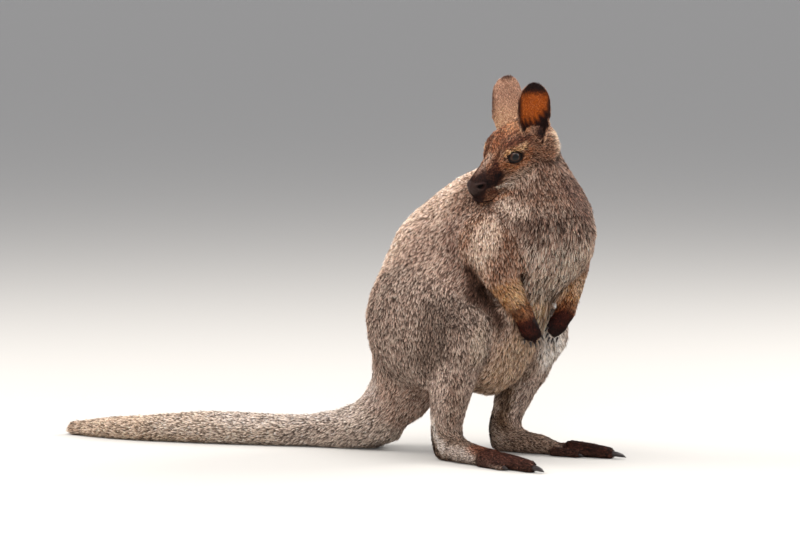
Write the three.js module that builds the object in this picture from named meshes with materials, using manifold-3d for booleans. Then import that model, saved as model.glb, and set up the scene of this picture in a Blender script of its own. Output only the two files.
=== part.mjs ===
// A red-necked wallaby, at rest on its hind feet and tail, its head turned over its right shoulder.
// Millimetres, +Z up, floor at z = 0, +X the way the hips face, +Y the animal's left. The coat is included.
// The flesh is one smooth field of round bones and muscles, cut into named parts by thin gaps.
import * as THREE from 'three';
import { mergeVertices } from 'three/addons/utils/BufferGeometryUtils.js';
import Module from 'manifold-3d';

const wasm = await Module();
wasm.setup();

// ---------------------------------------------------------------- driving dimensions

const GAP = 0.4; // left by each parting cut
const FAR = 600; // reach of a cutting box

const vec = (x, y, z) => new THREE.Vector3(x, y, z);
const radians = THREE.MathUtils.degToRad;
const smoothstep = THREE.MathUtils.smoothstep;
const lerp = THREE.MathUtils.lerp;

const SIDES = { left: 1, right: -1 };

// Trunk: centre, half sizes along the body, across and up, and the nose-up tilt of each mass in degrees.
const TRUNK = [
  { name: 'rump', at: vec(0, 0, 200), half: [84, 78, 100], tilt: 20 },
  { name: 'belly', at: vec(104, 0, 202), half: [90, 78, 108], tilt: 15 },
  { name: 'loin', at: vec(38, 0, 292), half: [90, 73, 94], tilt: 30 },
  { name: 'ribs', at: vec(101, 0, 340), half: [98, 75, 92], tilt: 40 },
  { name: 'shoulders', at: vec(149, 5, 372), half: [88, 79, 79], tilt: 24 },
  { name: 'breast', at: vec(222, 15, 342), half: [70, 72, 73], tilt: 0 },
  { name: 'brisket', at: vec(156, 6, 264), half: [68, 62, 76], tilt: 0 },
];
const TRUNK_BLEND = 42;

const NECK = { base: vec(198, 4, 374), top: vec(195, -3, 466), baseRadius: 86, topRadius: 50, blend: 34 };

// Head: the nose tip, and how far it turns from +X, dips and leans, in degrees. Its own frame has x forward
// from the nose tip, y to its left and z up.
const NOSE_TIP = vec(155, -106, 416);
const HEAD_YAW = -117;
const HEAD_DIP = 29;
const HEAD_LEAN = 10;
const EYE = { at: vec(-77, 24.5, 25), radius: 12 };
const EAR = {
  root: vec(-116, 30, 28),
  length: 90,
  halfWidth: 26,
  thickness: 4.2,
  rows: 8,
  columns: 7,
};

// The tail's middle line and its radius there, from the root to the tip, and where its lengths are parted.
const TAIL = {
  stations: [
    { name: 'root', at: vec(-12, 0, 130), radius: 54 },
    { name: 'bend', at: vec(-74, -10, 45), radius: 41 },
    { name: 'floor', at: vec(-150, -34, 26), radius: 27.5 },
    { name: 'middle', at: vec(-335, -100, 24), radius: 24.5 },
    { name: 'thin', at: vec(-470, -138, 18), radius: 18.5 },
    { name: 'tip', at: vec(-604, -142, 9), radius: 7.5 },
  ],
  cuts: [0.13, 0.4, 0.72],
};

const LEGS = {
  left: { hip: vec(24, 54, 214), knee: vec(170, 88, 190), ankle: vec(106, 70, 40), footYaw: 4.8 },
  right: { hip: vec(24, -54, 214), knee: vec(130, -90, 190), ankle: vec(88, -67, 40), footYaw: -13.6 },
};
const FOOT = { length: 228, heelBack: 24 };

// The fingers of each hand spread along the line spread.
const ARMS = {
  left: {
    shoulder: vec(208, 60, 345),
    elbow: vec(228, 69, 282),
    wrist: vec(236, 40, 228),
    fingers: vec(223, 17, 192),
    spread: vec(0.25, 1, 0),
  },
  right: {
    shoulder: vec(174, -64, 345),
    elbow: vec(194, -77, 284),
    wrist: vec(209, -40, 230),
    fingers: vec(219, -24, 187),
    spread: vec(-1, -0.1, 0),
  },
};

// ---------------------------------------------------------------- fields: distance to a form

// Each is below 0 inside its form. An ellipsoid has its half sizes along the axes of a turned frame.
function ellipsoid(centre, half, turn = new THREE.Quaternion()) {
  const back = turn.clone().invert();
  const p = new THREE.Vector3();
  const [a, b, c] = half;
  return (x, y, z) => {
    p.set(x - centre.x, y - centre.y, z - centre.z).applyQuaternion(back);
    const near = Math.hypot(p.x / a, p.y / b, p.z / c);
    const steep = Math.hypot(p.x / (a * a), p.y / (b * b), p.z / (c * c));
    return steep < 1e-9 ? -Math.min(a, b, c) : (near * (near - 1)) / steep;
  };
}

// A round cone from ball to ball, thinned along the direction thin by the factor flat.
function bone(from, to, fromRadius, toRadius, thin = null, flat = 1) {
  const squeeze = (p) => (thin ? p.addScaledVector(thin, p.dot(thin) * (1 / flat - 1)) : p);
  const axis = squeeze(to.clone().sub(from));
  const length2 = axis.lengthSq();
  const drop = fromRadius - toRadius;
  const slope = length2 - drop * drop;
  const p = new THREE.Vector3();
  return (x, y, z) => {
    squeeze(p.set(x - from.x, y - from.y, z - from.z));
    const along = p.dot(axis);
    const beyond = along - length2;
    const side2 = Math.max(0, p.lengthSq() * length2 - along * along) * length2;
    const near2 = along * along * length2;
    const far2 = beyond * beyond * length2;
    const k = Math.sign(drop) * drop * drop * side2;
    if (Math.sign(beyond) * slope * far2 > k) return Math.sqrt(side2 + far2) / length2 - toRadius;
    if (Math.sign(along) * slope * near2 < k) return Math.sqrt(side2 + near2) / length2 - fromRadius;
    return (Math.sqrt((side2 * slope) / length2) + along * drop) / length2 - fromRadius;
  };
}

const softMin = (a, b, k) => {
  const near = Math.max(k - Math.abs(a - b), 0) / Math.max(k, 1e-6);
  return Math.min(a, b) - near * near * k * 0.25;
};

// All the forms in one, with creases filled over a width of k.
const blend = (k, ...forms) => (x, y, z) => {
  let d = forms[0](x, y, z);
  for (let i = 1; i < forms.length; i++) d = softMin(d, forms[i](x, y, z), k);
  return d;
};

// Two forms joined, with the crease filled only within reach of a joint, so that they stay apart elsewhere.
const blendAt = (joint, reach, k, a, b) => (x, y, z) => {
  const away = Math.hypot(x - joint.x, y - joint.y, z - joint.z);
  return softMin(a(x, y, z), b(x, y, z), k * (1 - smoothstep(away, reach * 0.6, reach)));
};

// A form with another pressed out of it.
const carve = (k, form, tool) => (x, y, z) => -softMin(-form(x, y, z), tool(x, y, z), k);

// ---------------------------------------------------------------- solids

// The closed surface of a field inside a box of the frame placement: one vertex in each crossed cell
// (surface nets), then moved onto the form.
function surfaceOf(field, placement, low, high, cell) {
  const size = vec(...cell);
  const count = high.clone().sub(low).divide(size).ceil().addScalar(3);
  const [nx, ny, nz] = [count.x, count.y, count.z];
  const middle = low.clone().add(high).multiplyScalar(0.5);
  const half = high.clone().sub(low).multiplyScalar(0.5);
  const corner = low.clone().sub(size);
  const p = new THREE.Vector3();
  const value = (local) => {
    const wall = Math.max(
      Math.abs(local.x - middle.x) - half.x,
      Math.abs(local.y - middle.y) - half.y,
      Math.abs(local.z - middle.z) - half.z,
    );
    p.copy(local).applyMatrix4(placement);
    return Math.max(wall, field(p.x, p.y, p.z));
  };
  const samples = new Float64Array(nx * ny * nz);
  const index = (i, j, k) => i + nx * (j + ny * k);
  const q = new THREE.Vector3();
  for (let k = 0; k < nz; k++) {
    for (let j = 0; j < ny; j++) {
      for (let i = 0; i < nx; i++) {
        samples[index(i, j, k)] = value(q.set(i, j, k).multiply(size).add(corner));
      }
    }
  }

  const vertices = [];
  const vertexOf = new Map();
  const corners = [0, 1, 2, 3, 4, 5, 6, 7].map((n) => [n & 1, (n >> 1) & 1, (n >> 2) & 1]);
  const edges = [];
  const apart = (a, b) => Math.abs(a[0] - b[0]) + Math.abs(a[1] - b[1]) + Math.abs(a[2] - b[2]);
  corners.forEach((a, m) => corners.forEach((b, n) => {
    if (m < n && apart(a, b) === 1) edges.push([m, n]);
  }));
  const gradient = new THREE.Vector3();
  const step = Math.min(...cell) * 0.1;
  for (let k = 0; k < nz - 1; k++) {
    for (let j = 0; j < ny - 1; j++) {
      for (let i = 0; i < nx - 1; i++) {
        const at = corners.map(([a, b, c]) => samples[index(i + a, j + b, k + c)]);
        const crossed = edges.filter(([m, n]) => at[m] < 0 !== at[n] < 0);
        if (!crossed.length) continue;
        const mean = vec(0, 0, 0);
        for (const [m, n] of crossed) {
          const share = at[m] / (at[m] - at[n]);
          for (let axis = 0; axis < 3; axis++) {
            const place = lerp(corners[m][axis], corners[n][axis], share);
            mean.setComponent(axis, mean.getComponent(axis) + place / crossed.length);
          }
        }
        const home = mean.add(vec(i, j, k)).multiply(size).add(corner);
        const moved = home.clone();
        for (let pass = 0; pass < 3; pass++) {
          const d = value(moved);
          gradient.set(
            value(q.copy(moved).add(vec(step, 0, 0))) - d,
            value(q.copy(moved).add(vec(0, step, 0))) - d,
            value(q.copy(moved).add(vec(0, 0, step))) - d,
          ).divideScalar(step);
          moved.addScaledVector(gradient, -d / Math.max(gradient.lengthSq(), 0.25));
        }
        // A vertex stays in its own cell, so that the surface can't fold.
        const inner = size.clone().multiplyScalar(0.45);
        const centre = q.set(i + 0.5, j + 0.5, k + 0.5).multiply(size).add(corner);
        moved.clamp(centre.clone().sub(inner), centre.clone().add(inner));
        vertexOf.set(index(i, j, k), vertices.length / 3);
        vertices.push(...moved.applyMatrix4(placement).toArray());
      }
    }
  }

  const triangles = [];
  const strides = [1, nx, nx * ny];
  for (let k = 1; k < nz - 1; k++) {
    for (let j = 1; j < ny - 1; j++) {
      for (let i = 1; i < nx - 1; i++) {
        const here = index(i, j, k);
        for (let axis = 0; axis < 3; axis++) {
          const inside = samples[here] < 0;
          if (inside === samples[here + strides[axis]] < 0) continue;
          const u = strides[(axis + 1) % 3];
          const w = strides[(axis + 2) % 3];
          const ring = [here, here - u, here - u - w, here - w].map((cellIndex) => vertexOf.get(cellIndex));
          if (!inside) ring.reverse();
          triangles.push(ring[0], ring[1], ring[2], ring[0], ring[2], ring[3]);
        }
      }
    }
  }
  return new wasm.Manifold(new wasm.Mesh({
    numProp: 3,
    vertProperties: new Float32Array(vertices),
    triVerts: new Uint32Array(triangles),
  }));
}

// A three.js geometry as a solid.
function solidOf(geometry) {
  const bare = geometry.clone();
  bare.deleteAttribute('normal');
  bare.deleteAttribute('uv');
  const merged = mergeVertices(bare, 1e-4);
  return new wasm.Manifold(
    new wasm.Mesh({
      numProp: 3,
      vertProperties: merged.attributes.position.array,
      triVerts: new Uint32Array(merged.index.array),
    }),
  );
}

// The triangles of a mesh's largest shell: the cuts can leave slivers and pockets beside it.
function largestShell({ triVerts, vertProperties }) {
  const parent = Array.from({ length: vertProperties.length / 3 }, (_, i) => i);
  const find = (i) => {
    while (parent[i] !== i) {
      parent[i] = parent[parent[i]];
      i = parent[i];
    }
    return i;
  };
  const corner = (n) => new THREE.Vector3().fromArray(vertProperties, 3 * triVerts[n]);
  for (let n = 0; n < triVerts.length; n += 3) {
    parent[find(triVerts[n])] = find(triVerts[n + 1]);
    parent[find(triVerts[n])] = find(triVerts[n + 2]);
  }
  const volumes = new Map();
  for (let n = 0; n < triVerts.length; n += 3) {
    const shell = find(triVerts[n]);
    const wedge = corner(n).dot(corner(n + 1).cross(corner(n + 2))) / 6;
    volumes.set(shell, (volumes.get(shell) ?? 0) + wedge);
  }
  const [largest] = [...volumes].reduce((a, b) => (b[1] > a[1] ? b : a));
  return triVerts.filter((_, n) => find(triVerts[n - (n % 3)]) === largest);
}

// A solid as a three.js geometry.
function geometryOf(solid) {
  const mesh = solid.getMesh();
  const geometry = new THREE.BufferGeometry();
  geometry.setAttribute('position', new THREE.BufferAttribute(mesh.vertProperties, 3));
  geometry.setIndex(new THREE.BufferAttribute(largestShell(mesh), 1));
  geometry.computeVertexNormals();
  return geometry;
}

// The frame at a point with z along a direction and x as near as can be to side.
function frameAt(point, direction, side = vec(0, 1, 0)) {
  const z = direction.clone().normalize();
  const x = side.clone().addScaledVector(z, -side.dot(z)).normalize();
  const y = z.clone().cross(x);
  return new THREE.Matrix4().makeBasis(x, y, z).setPosition(point);
}

// A box of all that lies beyond a point along a direction, starting shift past it.
function beyond(point, direction, shift = 0, width = FAR, depth = FAR) {
  const box = new THREE.BoxGeometry(width, width, depth).translate(0, 0, depth / 2 + shift);
  return solidOf(box.applyMatrix4(frameAt(point, direction, vec(0.3, 1, 0.2))));
}

// A capsule that tapers to one end, squared in section and thinned sideways, grown by grow.
function egg(from, to, fromRadius, toRadius, flat, side, grow, sides = 18, steps = 4) {
  const span = to.clone().sub(from);
  const arc = (radius, centre, start) => Array.from({ length: steps + 1 }, (_, i) => {
    const angle = start + (i / steps) * (Math.PI / 2);
    return new THREE.Vector2(Math.max(0, Math.cos(angle)) * radius, centre + Math.sin(angle) * radius);
  });
  const profile = [
    ...arc(fromRadius + grow, 0, -Math.PI / 2),
    ...arc(toRadius + grow, span.length(), 0),
  ];
  const shape = new THREE.LatheGeometry(profile, sides).rotateX(Math.PI / 2);
  const points = shape.attributes.position;
  for (let i = 0; i < points.count; i++) {
    const [x, y] = [points.getX(i), points.getY(i)];
    const square = Math.hypot(x, y) / Math.max((x ** 4 + y ** 4) ** 0.25, 1e-9);
    points.setXY(i, x * square * flat, y * square);
  }
  return solidOf(shape.applyMatrix4(frameAt(from, span, side)));
}

// The surface of a field round the line from one joint to another, in cells longer along it than across,
// all grown by grow.
function along(field, from, to, radius, overrun, across, lengthwise, side, grow = 0) {
  const span = to.clone().sub(from);
  return surfaceOf(
    (x, y, z) => field(x, y, z) - grow,
    frameAt(from, span, side),
    vec(-radius - grow, -radius - grow, -overrun - grow),
    vec(radius + grow, radius + grow, span.length() + overrun + grow),
    [across, across, lengthwise],
  );
}

const aboveFloor = beyond(vec(0, 0, 0), vec(0, 0, 1), 0, 3000, 1500);

// A closed tube of rings, each a list of points, with its last ring drawn to a point or capped.
function ringSolid(rings, tip) {
  const sides = rings[0].length;
  const points = [...rings.flat(), ...tip ? [tip] : [], mean(rings[0])];
  const last = points.length - 1;
  const faces = [];
  for (let s = 0; s < sides; s++) {
    const t = (s + 1) % sides;
    faces.push(last, t, s);
    for (let r = 0; r < rings.length - 1; r++) {
      const [a, b, c, d] = [r * sides + s, r * sides + t, (r + 1) * sides + t, (r + 1) * sides + s];
      faces.push(a, b, c, a, c, d);
    }
    faces.push((rings.length - 1) * sides + s, (rings.length - 1) * sides + t, last - 1);
  }
  return new wasm.Manifold(
    new wasm.Mesh({
      numProp: 3,
      vertProperties: new Float32Array(points.flatMap((p) => p.toArray())),
      triVerts: new Uint32Array(faces),
    }),
  );
}

const mean = (points) => points.reduce((sum, p) => sum.add(p), vec(0, 0, 0)).divideScalar(points.length);

// ---------------------------------------------------------------- trunk, neck and tail

const aboutY = (degrees) => new THREE.Quaternion().setFromAxisAngle(vec(0, 1, 0), -radians(degrees));

const trunkForm = blend(TRUNK_BLEND, ...TRUNK.map(({ at, half, tilt }) => ellipsoid(at, half, aboutY(tilt))));
const neckForm = bone(NECK.base, NECK.top, NECK.baseRadius, NECK.topRadius);

const tailCurve = new THREE.CatmullRomCurve3(TAIL.stations.map(({ at }) => at), false, 'centripetal');
const TAIL_STEPS = 4; // bones between one station and the next

const tailForm = blend(
  10,
  ...TAIL.stations.slice(1).flatMap((station, i) => {
    const before = TAIL.stations[i];
    const place = (n) => tailCurve.getPoint((i + n / TAIL_STEPS) / (TAIL.stations.length - 1));
    const radius = (n) => lerp(before.radius, station.radius, n / TAIL_STEPS);
    return Array.from({ length: TAIL_STEPS }, (_, n) => (
      bone(place(n), place(n + 1), radius(n), radius(n + 1))
    ));
  }),
);

// ---------------------------------------------------------------- head

const headTurn = new THREE.Matrix4()
  .makeRotationZ(radians(HEAD_YAW))
  .multiply(new THREE.Matrix4().makeRotationY(radians(HEAD_DIP)))
  .multiply(new THREE.Matrix4().makeRotationX(radians(-HEAD_LEAN)));
const headFrame = new THREE.Matrix4().makeTranslation(NOSE_TIP.x, NOSE_TIP.y, NOSE_TIP.z).multiply(headTurn);
const headQuaternion = new THREE.Quaternion().setFromRotationMatrix(headTurn);
const inHead = (x, y, z) => vec(x, y, z).applyMatrix4(headFrame);
const headDirection = (x, y, z) => vec(x, y, z).applyQuaternion(headQuaternion);
const bothSides = (make) => Object.values(SIDES).map((s) => make(s));

// A ball in the head's frame, with its nose-down tilt in degrees.
function headBall(x, y, z, half, dip = 0) {
  const tilt = new THREE.Quaternion().setFromAxisAngle(vec(0, 1, 0), radians(dip));
  return ellipsoid(inHead(x, y, z), half, headQuaternion.clone().multiply(tilt));
}

const headBone = (a, b, ra, rb, flat = 1) => (
  bone(inHead(...a), inHead(...b), ra, rb, headDirection(0, 1, 0), flat)
);

const skullForm = blend(
  16,
  headBall(-112, 0, 14, [50, 38, 40]),
  headBall(-124, 0, 2, [32, 36, 36]),
  ...bothSides((s) => headBall(-134, 25 * s, 18, [25, 19, 28])),
  headBone([-84, 0, 16], [-20, 0, 5.5], 30, 15.5, 0.92),
  headBone([-98, 0, -18], [-27, 0, -14], 32, 12.5, 0.95),
);
const faceForm = blend(
  10,
  skullForm,
  ...bothSides((s) => headBall(-90, 22 * s, -12, [34, 17, 26], 10)),
  ...bothSides((s) => headBall(-75, 21 * s, 29, [22, 14, 12], 22)),
  ...bothSides((s) => headBall(-90, 19 * s, 36, [26, 17, 17], 12)),
  ...bothSides((s) => headBall(-21, 6.5 * s, -17, [15, 9, 11], 15)),
  headBall(-12.5, 0, 2.5, [12, 13.5, 10.5], 20),
  headBall(-22, 0, -22.5, [13, 10, 6]),
);
const nostrilForm = blend(
  2,
  ...bothSides((s) => ellipsoid(
    inHead(-13, 11.5 * s, 4),
    [4.5, 3.6, 3],
    headQuaternion.clone().multiply(new THREE.Quaternion().setFromAxisAngle(vec(0, 0, 1), radians(-35 * s))),
  )),
);
const mouthForm = blend(
  2,
  ...bothSides((s) => headBone([-6, 2 * s, -20], [-25, 14 * s, -21.5], 1.2, 1.4)),
  ...bothSides((s) => headBone([-25, 14 * s, -21.5], [-50, 24 * s, -19], 1.4, 1)),
);
const socketForm = blend(1, ...bothSides((s) => (
  headBall(EYE.at.x, (EYE.at.y + 12) * s, EYE.at.z, [13, 7, 9])
)));
const headForm = carve(3, carve(2, carve(8, faceForm, socketForm), nostrilForm), mouthForm);

// ---------------------------------------------------------------- legs

// The names of a foot's toes, each with its root and end as shares of the foot's length, the end's offset
// to the outer side, and its radii.
const TOES = {
  four: { from: 0.62, to: 0.9, fromSide: 1, toSide: 1, radius: [12.5, 9.5], nail: [26, 5] },
  five: { from: 0.5, to: 0.7, fromSide: 12, toSide: 17, radius: [9.5, 7], nail: [14, 3.2] },
  fused: { from: 0.52, to: 0.69, fromSide: -13, toSide: -15, radius: [8, 6.2], nail: [11, 2.4] },
};

// Everything of one hind leg: joints, forms and directions.
function legOf(name) {
  const side = SIDES[name];
  const { hip, knee, ankle, footYaw } = LEGS[name];
  const forward = vec(Math.cos(radians(footYaw)), Math.sin(radians(footYaw)), 0);
  const outward = vec(-forward.y, forward.x, 0).multiplyScalar(side);
  const heel = ankle.clone().setZ(0).addScaledVector(forward, -FOOT.heelBack + 18);
  const onFoot = (share, out, up) => heel.clone().addScaledVector(forward, share * FOOT.length - 18)
    .addScaledVector(outward, out).setZ(up);

  const thighMid = hip.clone().lerp(knee, 0.42).add(vec(-8, 6 * side, -6));
  const thigh = blend(
    34,
    bone(hip, knee, 82, 33, vec(0, 1, 0), 0.62),
    ellipsoid(thighMid, [88, 42, 84], aboutY(-14)),
  );
  const calf = knee.clone().lerp(ankle, 0.34).addScaledVector(vec(-1, 0, -0.2), 12);
  const shank = blend(
    22,
    bone(knee, ankle, 37, 19),
    bone(calf, knee.clone().lerp(ankle, 0.8).add(vec(-10, 0, 0)), 30, 14),
    bone(knee.clone().lerp(ankle, 0.5).add(vec(-20, 0, 4)), onFoot(0.09, 0, 24), 13, 9.5),
  );
  const foot = blend(
    12,
    bone(onFoot(0.09, 0, 16), onFoot(0.3, 0, 15), 18, 16),
    bone(onFoot(0.3, 0, 15), onFoot(0.62, 1, 12), 16, 13, outward, 1.25),
    bone(onFoot(0.5, 8, 11), onFoot(0.6, 9, 9), 11, 10),
    bone(ankle, onFoot(0.24, 0, 18), 18, 13),
  );
  const toes = Object.fromEntries(Object.entries(TOES).map(([toe, sizes]) => {
    const { from, to, fromSide, toSide, radius, nail } = sizes;
    const root = onFoot(from, fromSide, radius[0] - 1.5);
    const end = onFoot(to, toSide, radius[1] - 1.5);
    const way = end.clone().sub(root).normalize();
    return [toe, { root, end, way, radius, nail }];
  }));
  return { name, side, hip, knee, ankle, forward, outward, onFoot, thigh, shank, foot, toes };
}

// ---------------------------------------------------------------- arms

const FINGERS = 5;

function armOf(name) {
  const side = SIDES[name];
  const { shoulder, elbow, wrist, fingers, spread } = ARMS[name];
  const reach = fingers.clone().sub(wrist);
  const down = reach.clone().normalize();
  const across = spread.clone().cross(down).cross(down).negate().normalize();
  const upper = blend(
    26,
    bone(shoulder, elbow, 44, 24),
    ellipsoid(shoulder.clone().add(vec(-6, 0, -4)), [48, 32, 54], aboutY(10)),
  );
  const muscle = bone(elbow, elbow.clone().lerp(wrist, 0.55), 23.5, 17.5);
  const fore = blend(10, bone(elbow, wrist, 22, 13), muscle);
  const palm = blend(
    8,
    bone(wrist, wrist.clone().addScaledVector(reach, 0.45), 13.5, 16, down.clone().cross(across), 0.85),
  );
  const digits = Array.from({ length: FINGERS }, (_, i) => {
    const fan = i / (FINGERS - 1) - 0.5;
    const knuckle = 0.5 - 0.3 * fan * fan;
    const root = wrist.clone().addScaledVector(reach, knuckle).addScaledVector(across, fan * 22);
    const end = wrist.clone().addScaledVector(reach, 1 - 0.8 * fan * fan).addScaledVector(across, fan * 30);
    return { end, way: end.clone().sub(root).normalize(), form: bone(root, end, 5.6, 4) };
  });
  const hand = blend(4, palm, ...digits.map((digit) => digit.form));
  return { name, side, shoulder, elbow, wrist, fingers, across, upper, fore, palm, hand, digits };
}

// ---------------------------------------------------------------- small hard parts and ears

// A claw: rings that shrink along an arc which turns downwards, all grown by grow.
function claw(root, direction, length, radius, droop, grow) {
  const rings = 3;
  const sides = 6;
  const hinge = direction.clone().cross(vec(0, 0, 1)).normalize();
  const heading = direction.clone().normalize();
  const place = root.clone().addScaledVector(heading, -grow);
  const made = [];
  for (let r = 0; r < rings; r++) {
    const up = hinge.clone().cross(heading).normalize();
    const width = radius * (1 - 0.62 * (r / rings) ** 1.3) + grow;
    made.push(Array.from({ length: sides }, (_, s) => {
      const angle = (s / sides) * 2 * Math.PI;
      return place.clone()
        .addScaledVector(hinge, Math.cos(angle) * width)
        .addScaledVector(up, Math.sin(angle) * width);
    }));
    place.addScaledVector(heading, length / rings);
    heading.applyAxisAngle(hinge, -radians(droop / rings));
  }
  place.addScaledVector(heading, 2 * grow);
  const solid = ringSolid(made, place);
  return solid.volume() > 0 ? solid : ringSolid(made.map((ring) => [...ring].reverse()), place);
}

// An ear: a dish that is nearly a tube at its root, wide above and round at its tip.
function ear(side, turn) {
  const { root, length, halfWidth, thickness, rows, columns } = EAR;
  const skin = (offset) => Array.from({ length: rows + 1 }, (_, row) => {
    const t = 1 - (1 - row / rows) ** 1.3;
    const width = halfWidth * Math.sqrt(Math.max(0.02, 1 - Math.max(0, (t - 0.5) / 0.515) ** 3))
      * lerp(0.62, 1, smoothstep(t, 0, 0.42));
    const curl = radians(lerp(118, 46, smoothstep(t, 0.02, 0.6)));
    const radius = width / Math.sin(Math.min(curl, Math.PI / 2)) - offset;
    return Array.from({ length: columns + 1 }, (_, column) => {
      const angle = curl * (2 * column / columns - 1);
      const lean = 5 * t * t;
      return vec(
        radius * Math.sin(angle),
        radius * (1 - Math.cos(angle)) + offset - 12 * (1 - t) - lean,
        length * t,
      );
    });
  });
  const outer = skin(0);
  const inner = skin(thickness);
  const rings = outer.map((row, r) => [...row, ...[...inner[r]].reverse()]);
  const tip = mean(rings[rings.length - 1]).add(vec(0, 0, 1.5));
  const solid = ringSolid(rings, tip);
  const facing = solid.volume() > 0 ? rings : rings.map((ring) => [...ring].reverse());
  const place = (p) => {
    const turned = p.clone().applyQuaternion(turn);
    return inHead(root.x + turned.x, (root.y * side) + turned.y, root.z + turned.z);
  };
  return ringSolid(facing.map((ring) => ring.map(place)), place(tip));
}

// ---------------------------------------------------------------- parting into nodes

const colours = {
  coat: [0x8a7362, 0.95],
  limb: [0x978678, 0.95],
  dark: [0x33231d, 0.85],
  ear: [0x9a6a4c, 0.9],
  eye: [0x15100d, 0.12],
  nose: [0x2b2422, 0.45],
  claw: [0x3a332e, 0.4],
};
const materials = Object.fromEntries(Object.entries(colours).map(([name, [color, roughness]]) => [
  name,
  new THREE.MeshStandardMaterial({ color, roughness, metalness: 0 }),
]));

const wallaby = new THREE.Group();

function add(name, solid, material) {
  const mesh = new THREE.Mesh(geometryOf(solid), materials[material]);
  mesh.name = name;
  wallaby.add(mesh);
}

const legs = Object.keys(SIDES).map(legOf);
const arms = Object.keys(SIDES).map(armOf);
const world = new THREE.Matrix4();

// The trunk with all that grows from it, for the blends at their roots.
const rooted = [
  ...legs.map((leg) => ({ joint: leg.hip, reach: 190, k: 34, form: leg.thigh })),
  ...arms.map((arm) => ({ joint: arm.shoulder, reach: 95, k: 26, form: arm.upper })),
].reduce((body, { joint, reach, k, form }) => blendAt(joint, reach, k, body, form), blend(
  NECK.blend,
  blend(50, trunkForm, tailForm),
  neckForm,
));

// Tools that part the limbs from the trunk, each with its gap on the trunk's side.
const sideways = vec(0, 1, 0);
const thighTool = (leg, grow) => egg(
  leg.hip.clone().setY(112 * leg.side).add(vec(-4, 0, -10)),
  leg.knee.clone().setY(95 * leg.side),
  112,
  60,
  0.56,
  sideways,
  grow,
);
const armTool = (arm, grow) => egg(
  arm.shoulder.clone().add(vec(-2, 26 * arm.side, -12)),
  arm.elbow.clone().add(vec(0, 6 * arm.side, -4)),
  54,
  46,
  0.9,
  sideways,
  grow,
);

const neckUp = NECK.top.clone().sub(NECK.base).normalize();
const neckCut = NECK.base.clone().addScaledVector(neckUp, 22);
const tailCut = TAIL.cuts.map((t) => ({ at: tailCurve.getPointAt(t), way: tailCurve.getTangentAt(t) }));

// The head alone, or grown as a tool.
const headSolid = (grow) => surfaceOf(
  (x, y, z) => headForm(x, y, z) - grow,
  headFrame,
  vec(-166, -52, -64),
  vec(8, 52, 72),
  [12, 11.5, 11.5],
);
const headRoom = headSolid(3 * GAP);

// The lower lengths of a leg and an arm, or grown as tools.
const shankField = (leg) => blend(14, leg.shank, leg.foot);
const shankSolid = (leg, grow) => (
  along(shankField(leg), leg.knee, leg.ankle, 62, 40, 18, 27, leg.outward, grow)
);
const shankWay = (leg) => leg.ankle.clone().sub(leg.knee).normalize();
const kneeCut = (leg) => leg.knee.clone().addScaledVector(shankWay(leg), 34);
const shankTool = (leg) => shankSolid(leg, 6 * GAP).intersect(beyond(kneeCut(leg), shankWay(leg), -GAP, 240));
const foreField = (arm) => blend(12, arm.fore, arm.palm);
const foreSolid = (arm, grow) => (
  along(foreField(arm), arm.elbow, arm.wrist, 40, 34, 12, 18, sideways, grow)
);

const elbowWay = (arm) => arm.wrist.clone().sub(arm.shoulder).normalize();
const foreTool = (arm) => foreSolid(arm, 7 * GAP).intersect(beyond(arm.elbow, elbowWay(arm), -GAP, 160));
const foreWay = (arm) => arm.wrist.clone().sub(arm.elbow).normalize();
const handField = (arm) => blend(8, arm.hand, arm.fore);
const handSolid = (arm, grow) => (
  along(handField(arm), arm.wrist, arm.fingers, 30, 14, 7, 10.5, arm.across, grow)
    .intersect(beyond(arm.wrist, foreWay(arm), -Math.sign(grow) * GAP, 120))
);

const neckAndTrunk = [
  ...legs.map((leg) => thighTool(leg, GAP)),
  ...arms.map((arm) => armTool(arm, GAP)),
  ...legs.map((leg) => shankTool(leg)),
  ...arms.map((arm) => foreTool(arm)),
  ...arms.map((arm) => handSolid(arm, 5 * GAP)),
  headRoom,
].reduce((solid, tool) => solid.subtract(tool), surfaceOf(
  rooted,
  world,
  vec(-150, -175, 30),
  vec(330, 175, 540),
  [34, 30, 34],
).subtract(beyond(tailCut[0].at, tailCut[0].way, -GAP, 240)));
add('trunk', neckAndTrunk.subtract(beyond(neckCut, neckUp, -GAP)), 'coat');
add('neck', neckAndTrunk.intersect(beyond(neckCut, neckUp)), 'coat');

const noseTool = (grow) => beyond(inHead(-18, 0, -2), headDirection(0.85, 0, 0.53), grow, 80, 60);
const eyeBall = (s, grow) => {
  const at = inHead(EYE.at.x, EYE.at.y * s, EYE.at.z);
  return solidOf(new THREE.SphereGeometry(EYE.radius + grow, 10, 8).translate(at.x, at.y, at.z));
};
const face = headSolid(0).subtract(noseTool(-GAP)).subtract(eyeBall(1, GAP)).subtract(eyeBall(-1, GAP));
add('head', face, 'coat');
add('nose', surfaceOf(headForm, headFrame, vec(-36, -24, -26), vec(6, 24, 26), [6, 5.5, 5.5])
  .intersect(noseTool(0)), 'nose');

const EAR_TURN = {
  left: new THREE.Euler(radians(4), radians(-26), radians(-30)),
  right: new THREE.Euler(radians(8), radians(-24), radians(-190)),
};
for (const [name, side] of Object.entries(SIDES)) {
  add('eye_' + name, eyeBall(side, 0), 'eye');
  const turn = new THREE.Quaternion().setFromEuler(EAR_TURN[name]);
  add('ear_' + name, ear(side, turn).subtract(headRoom), 'ear');
}

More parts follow.
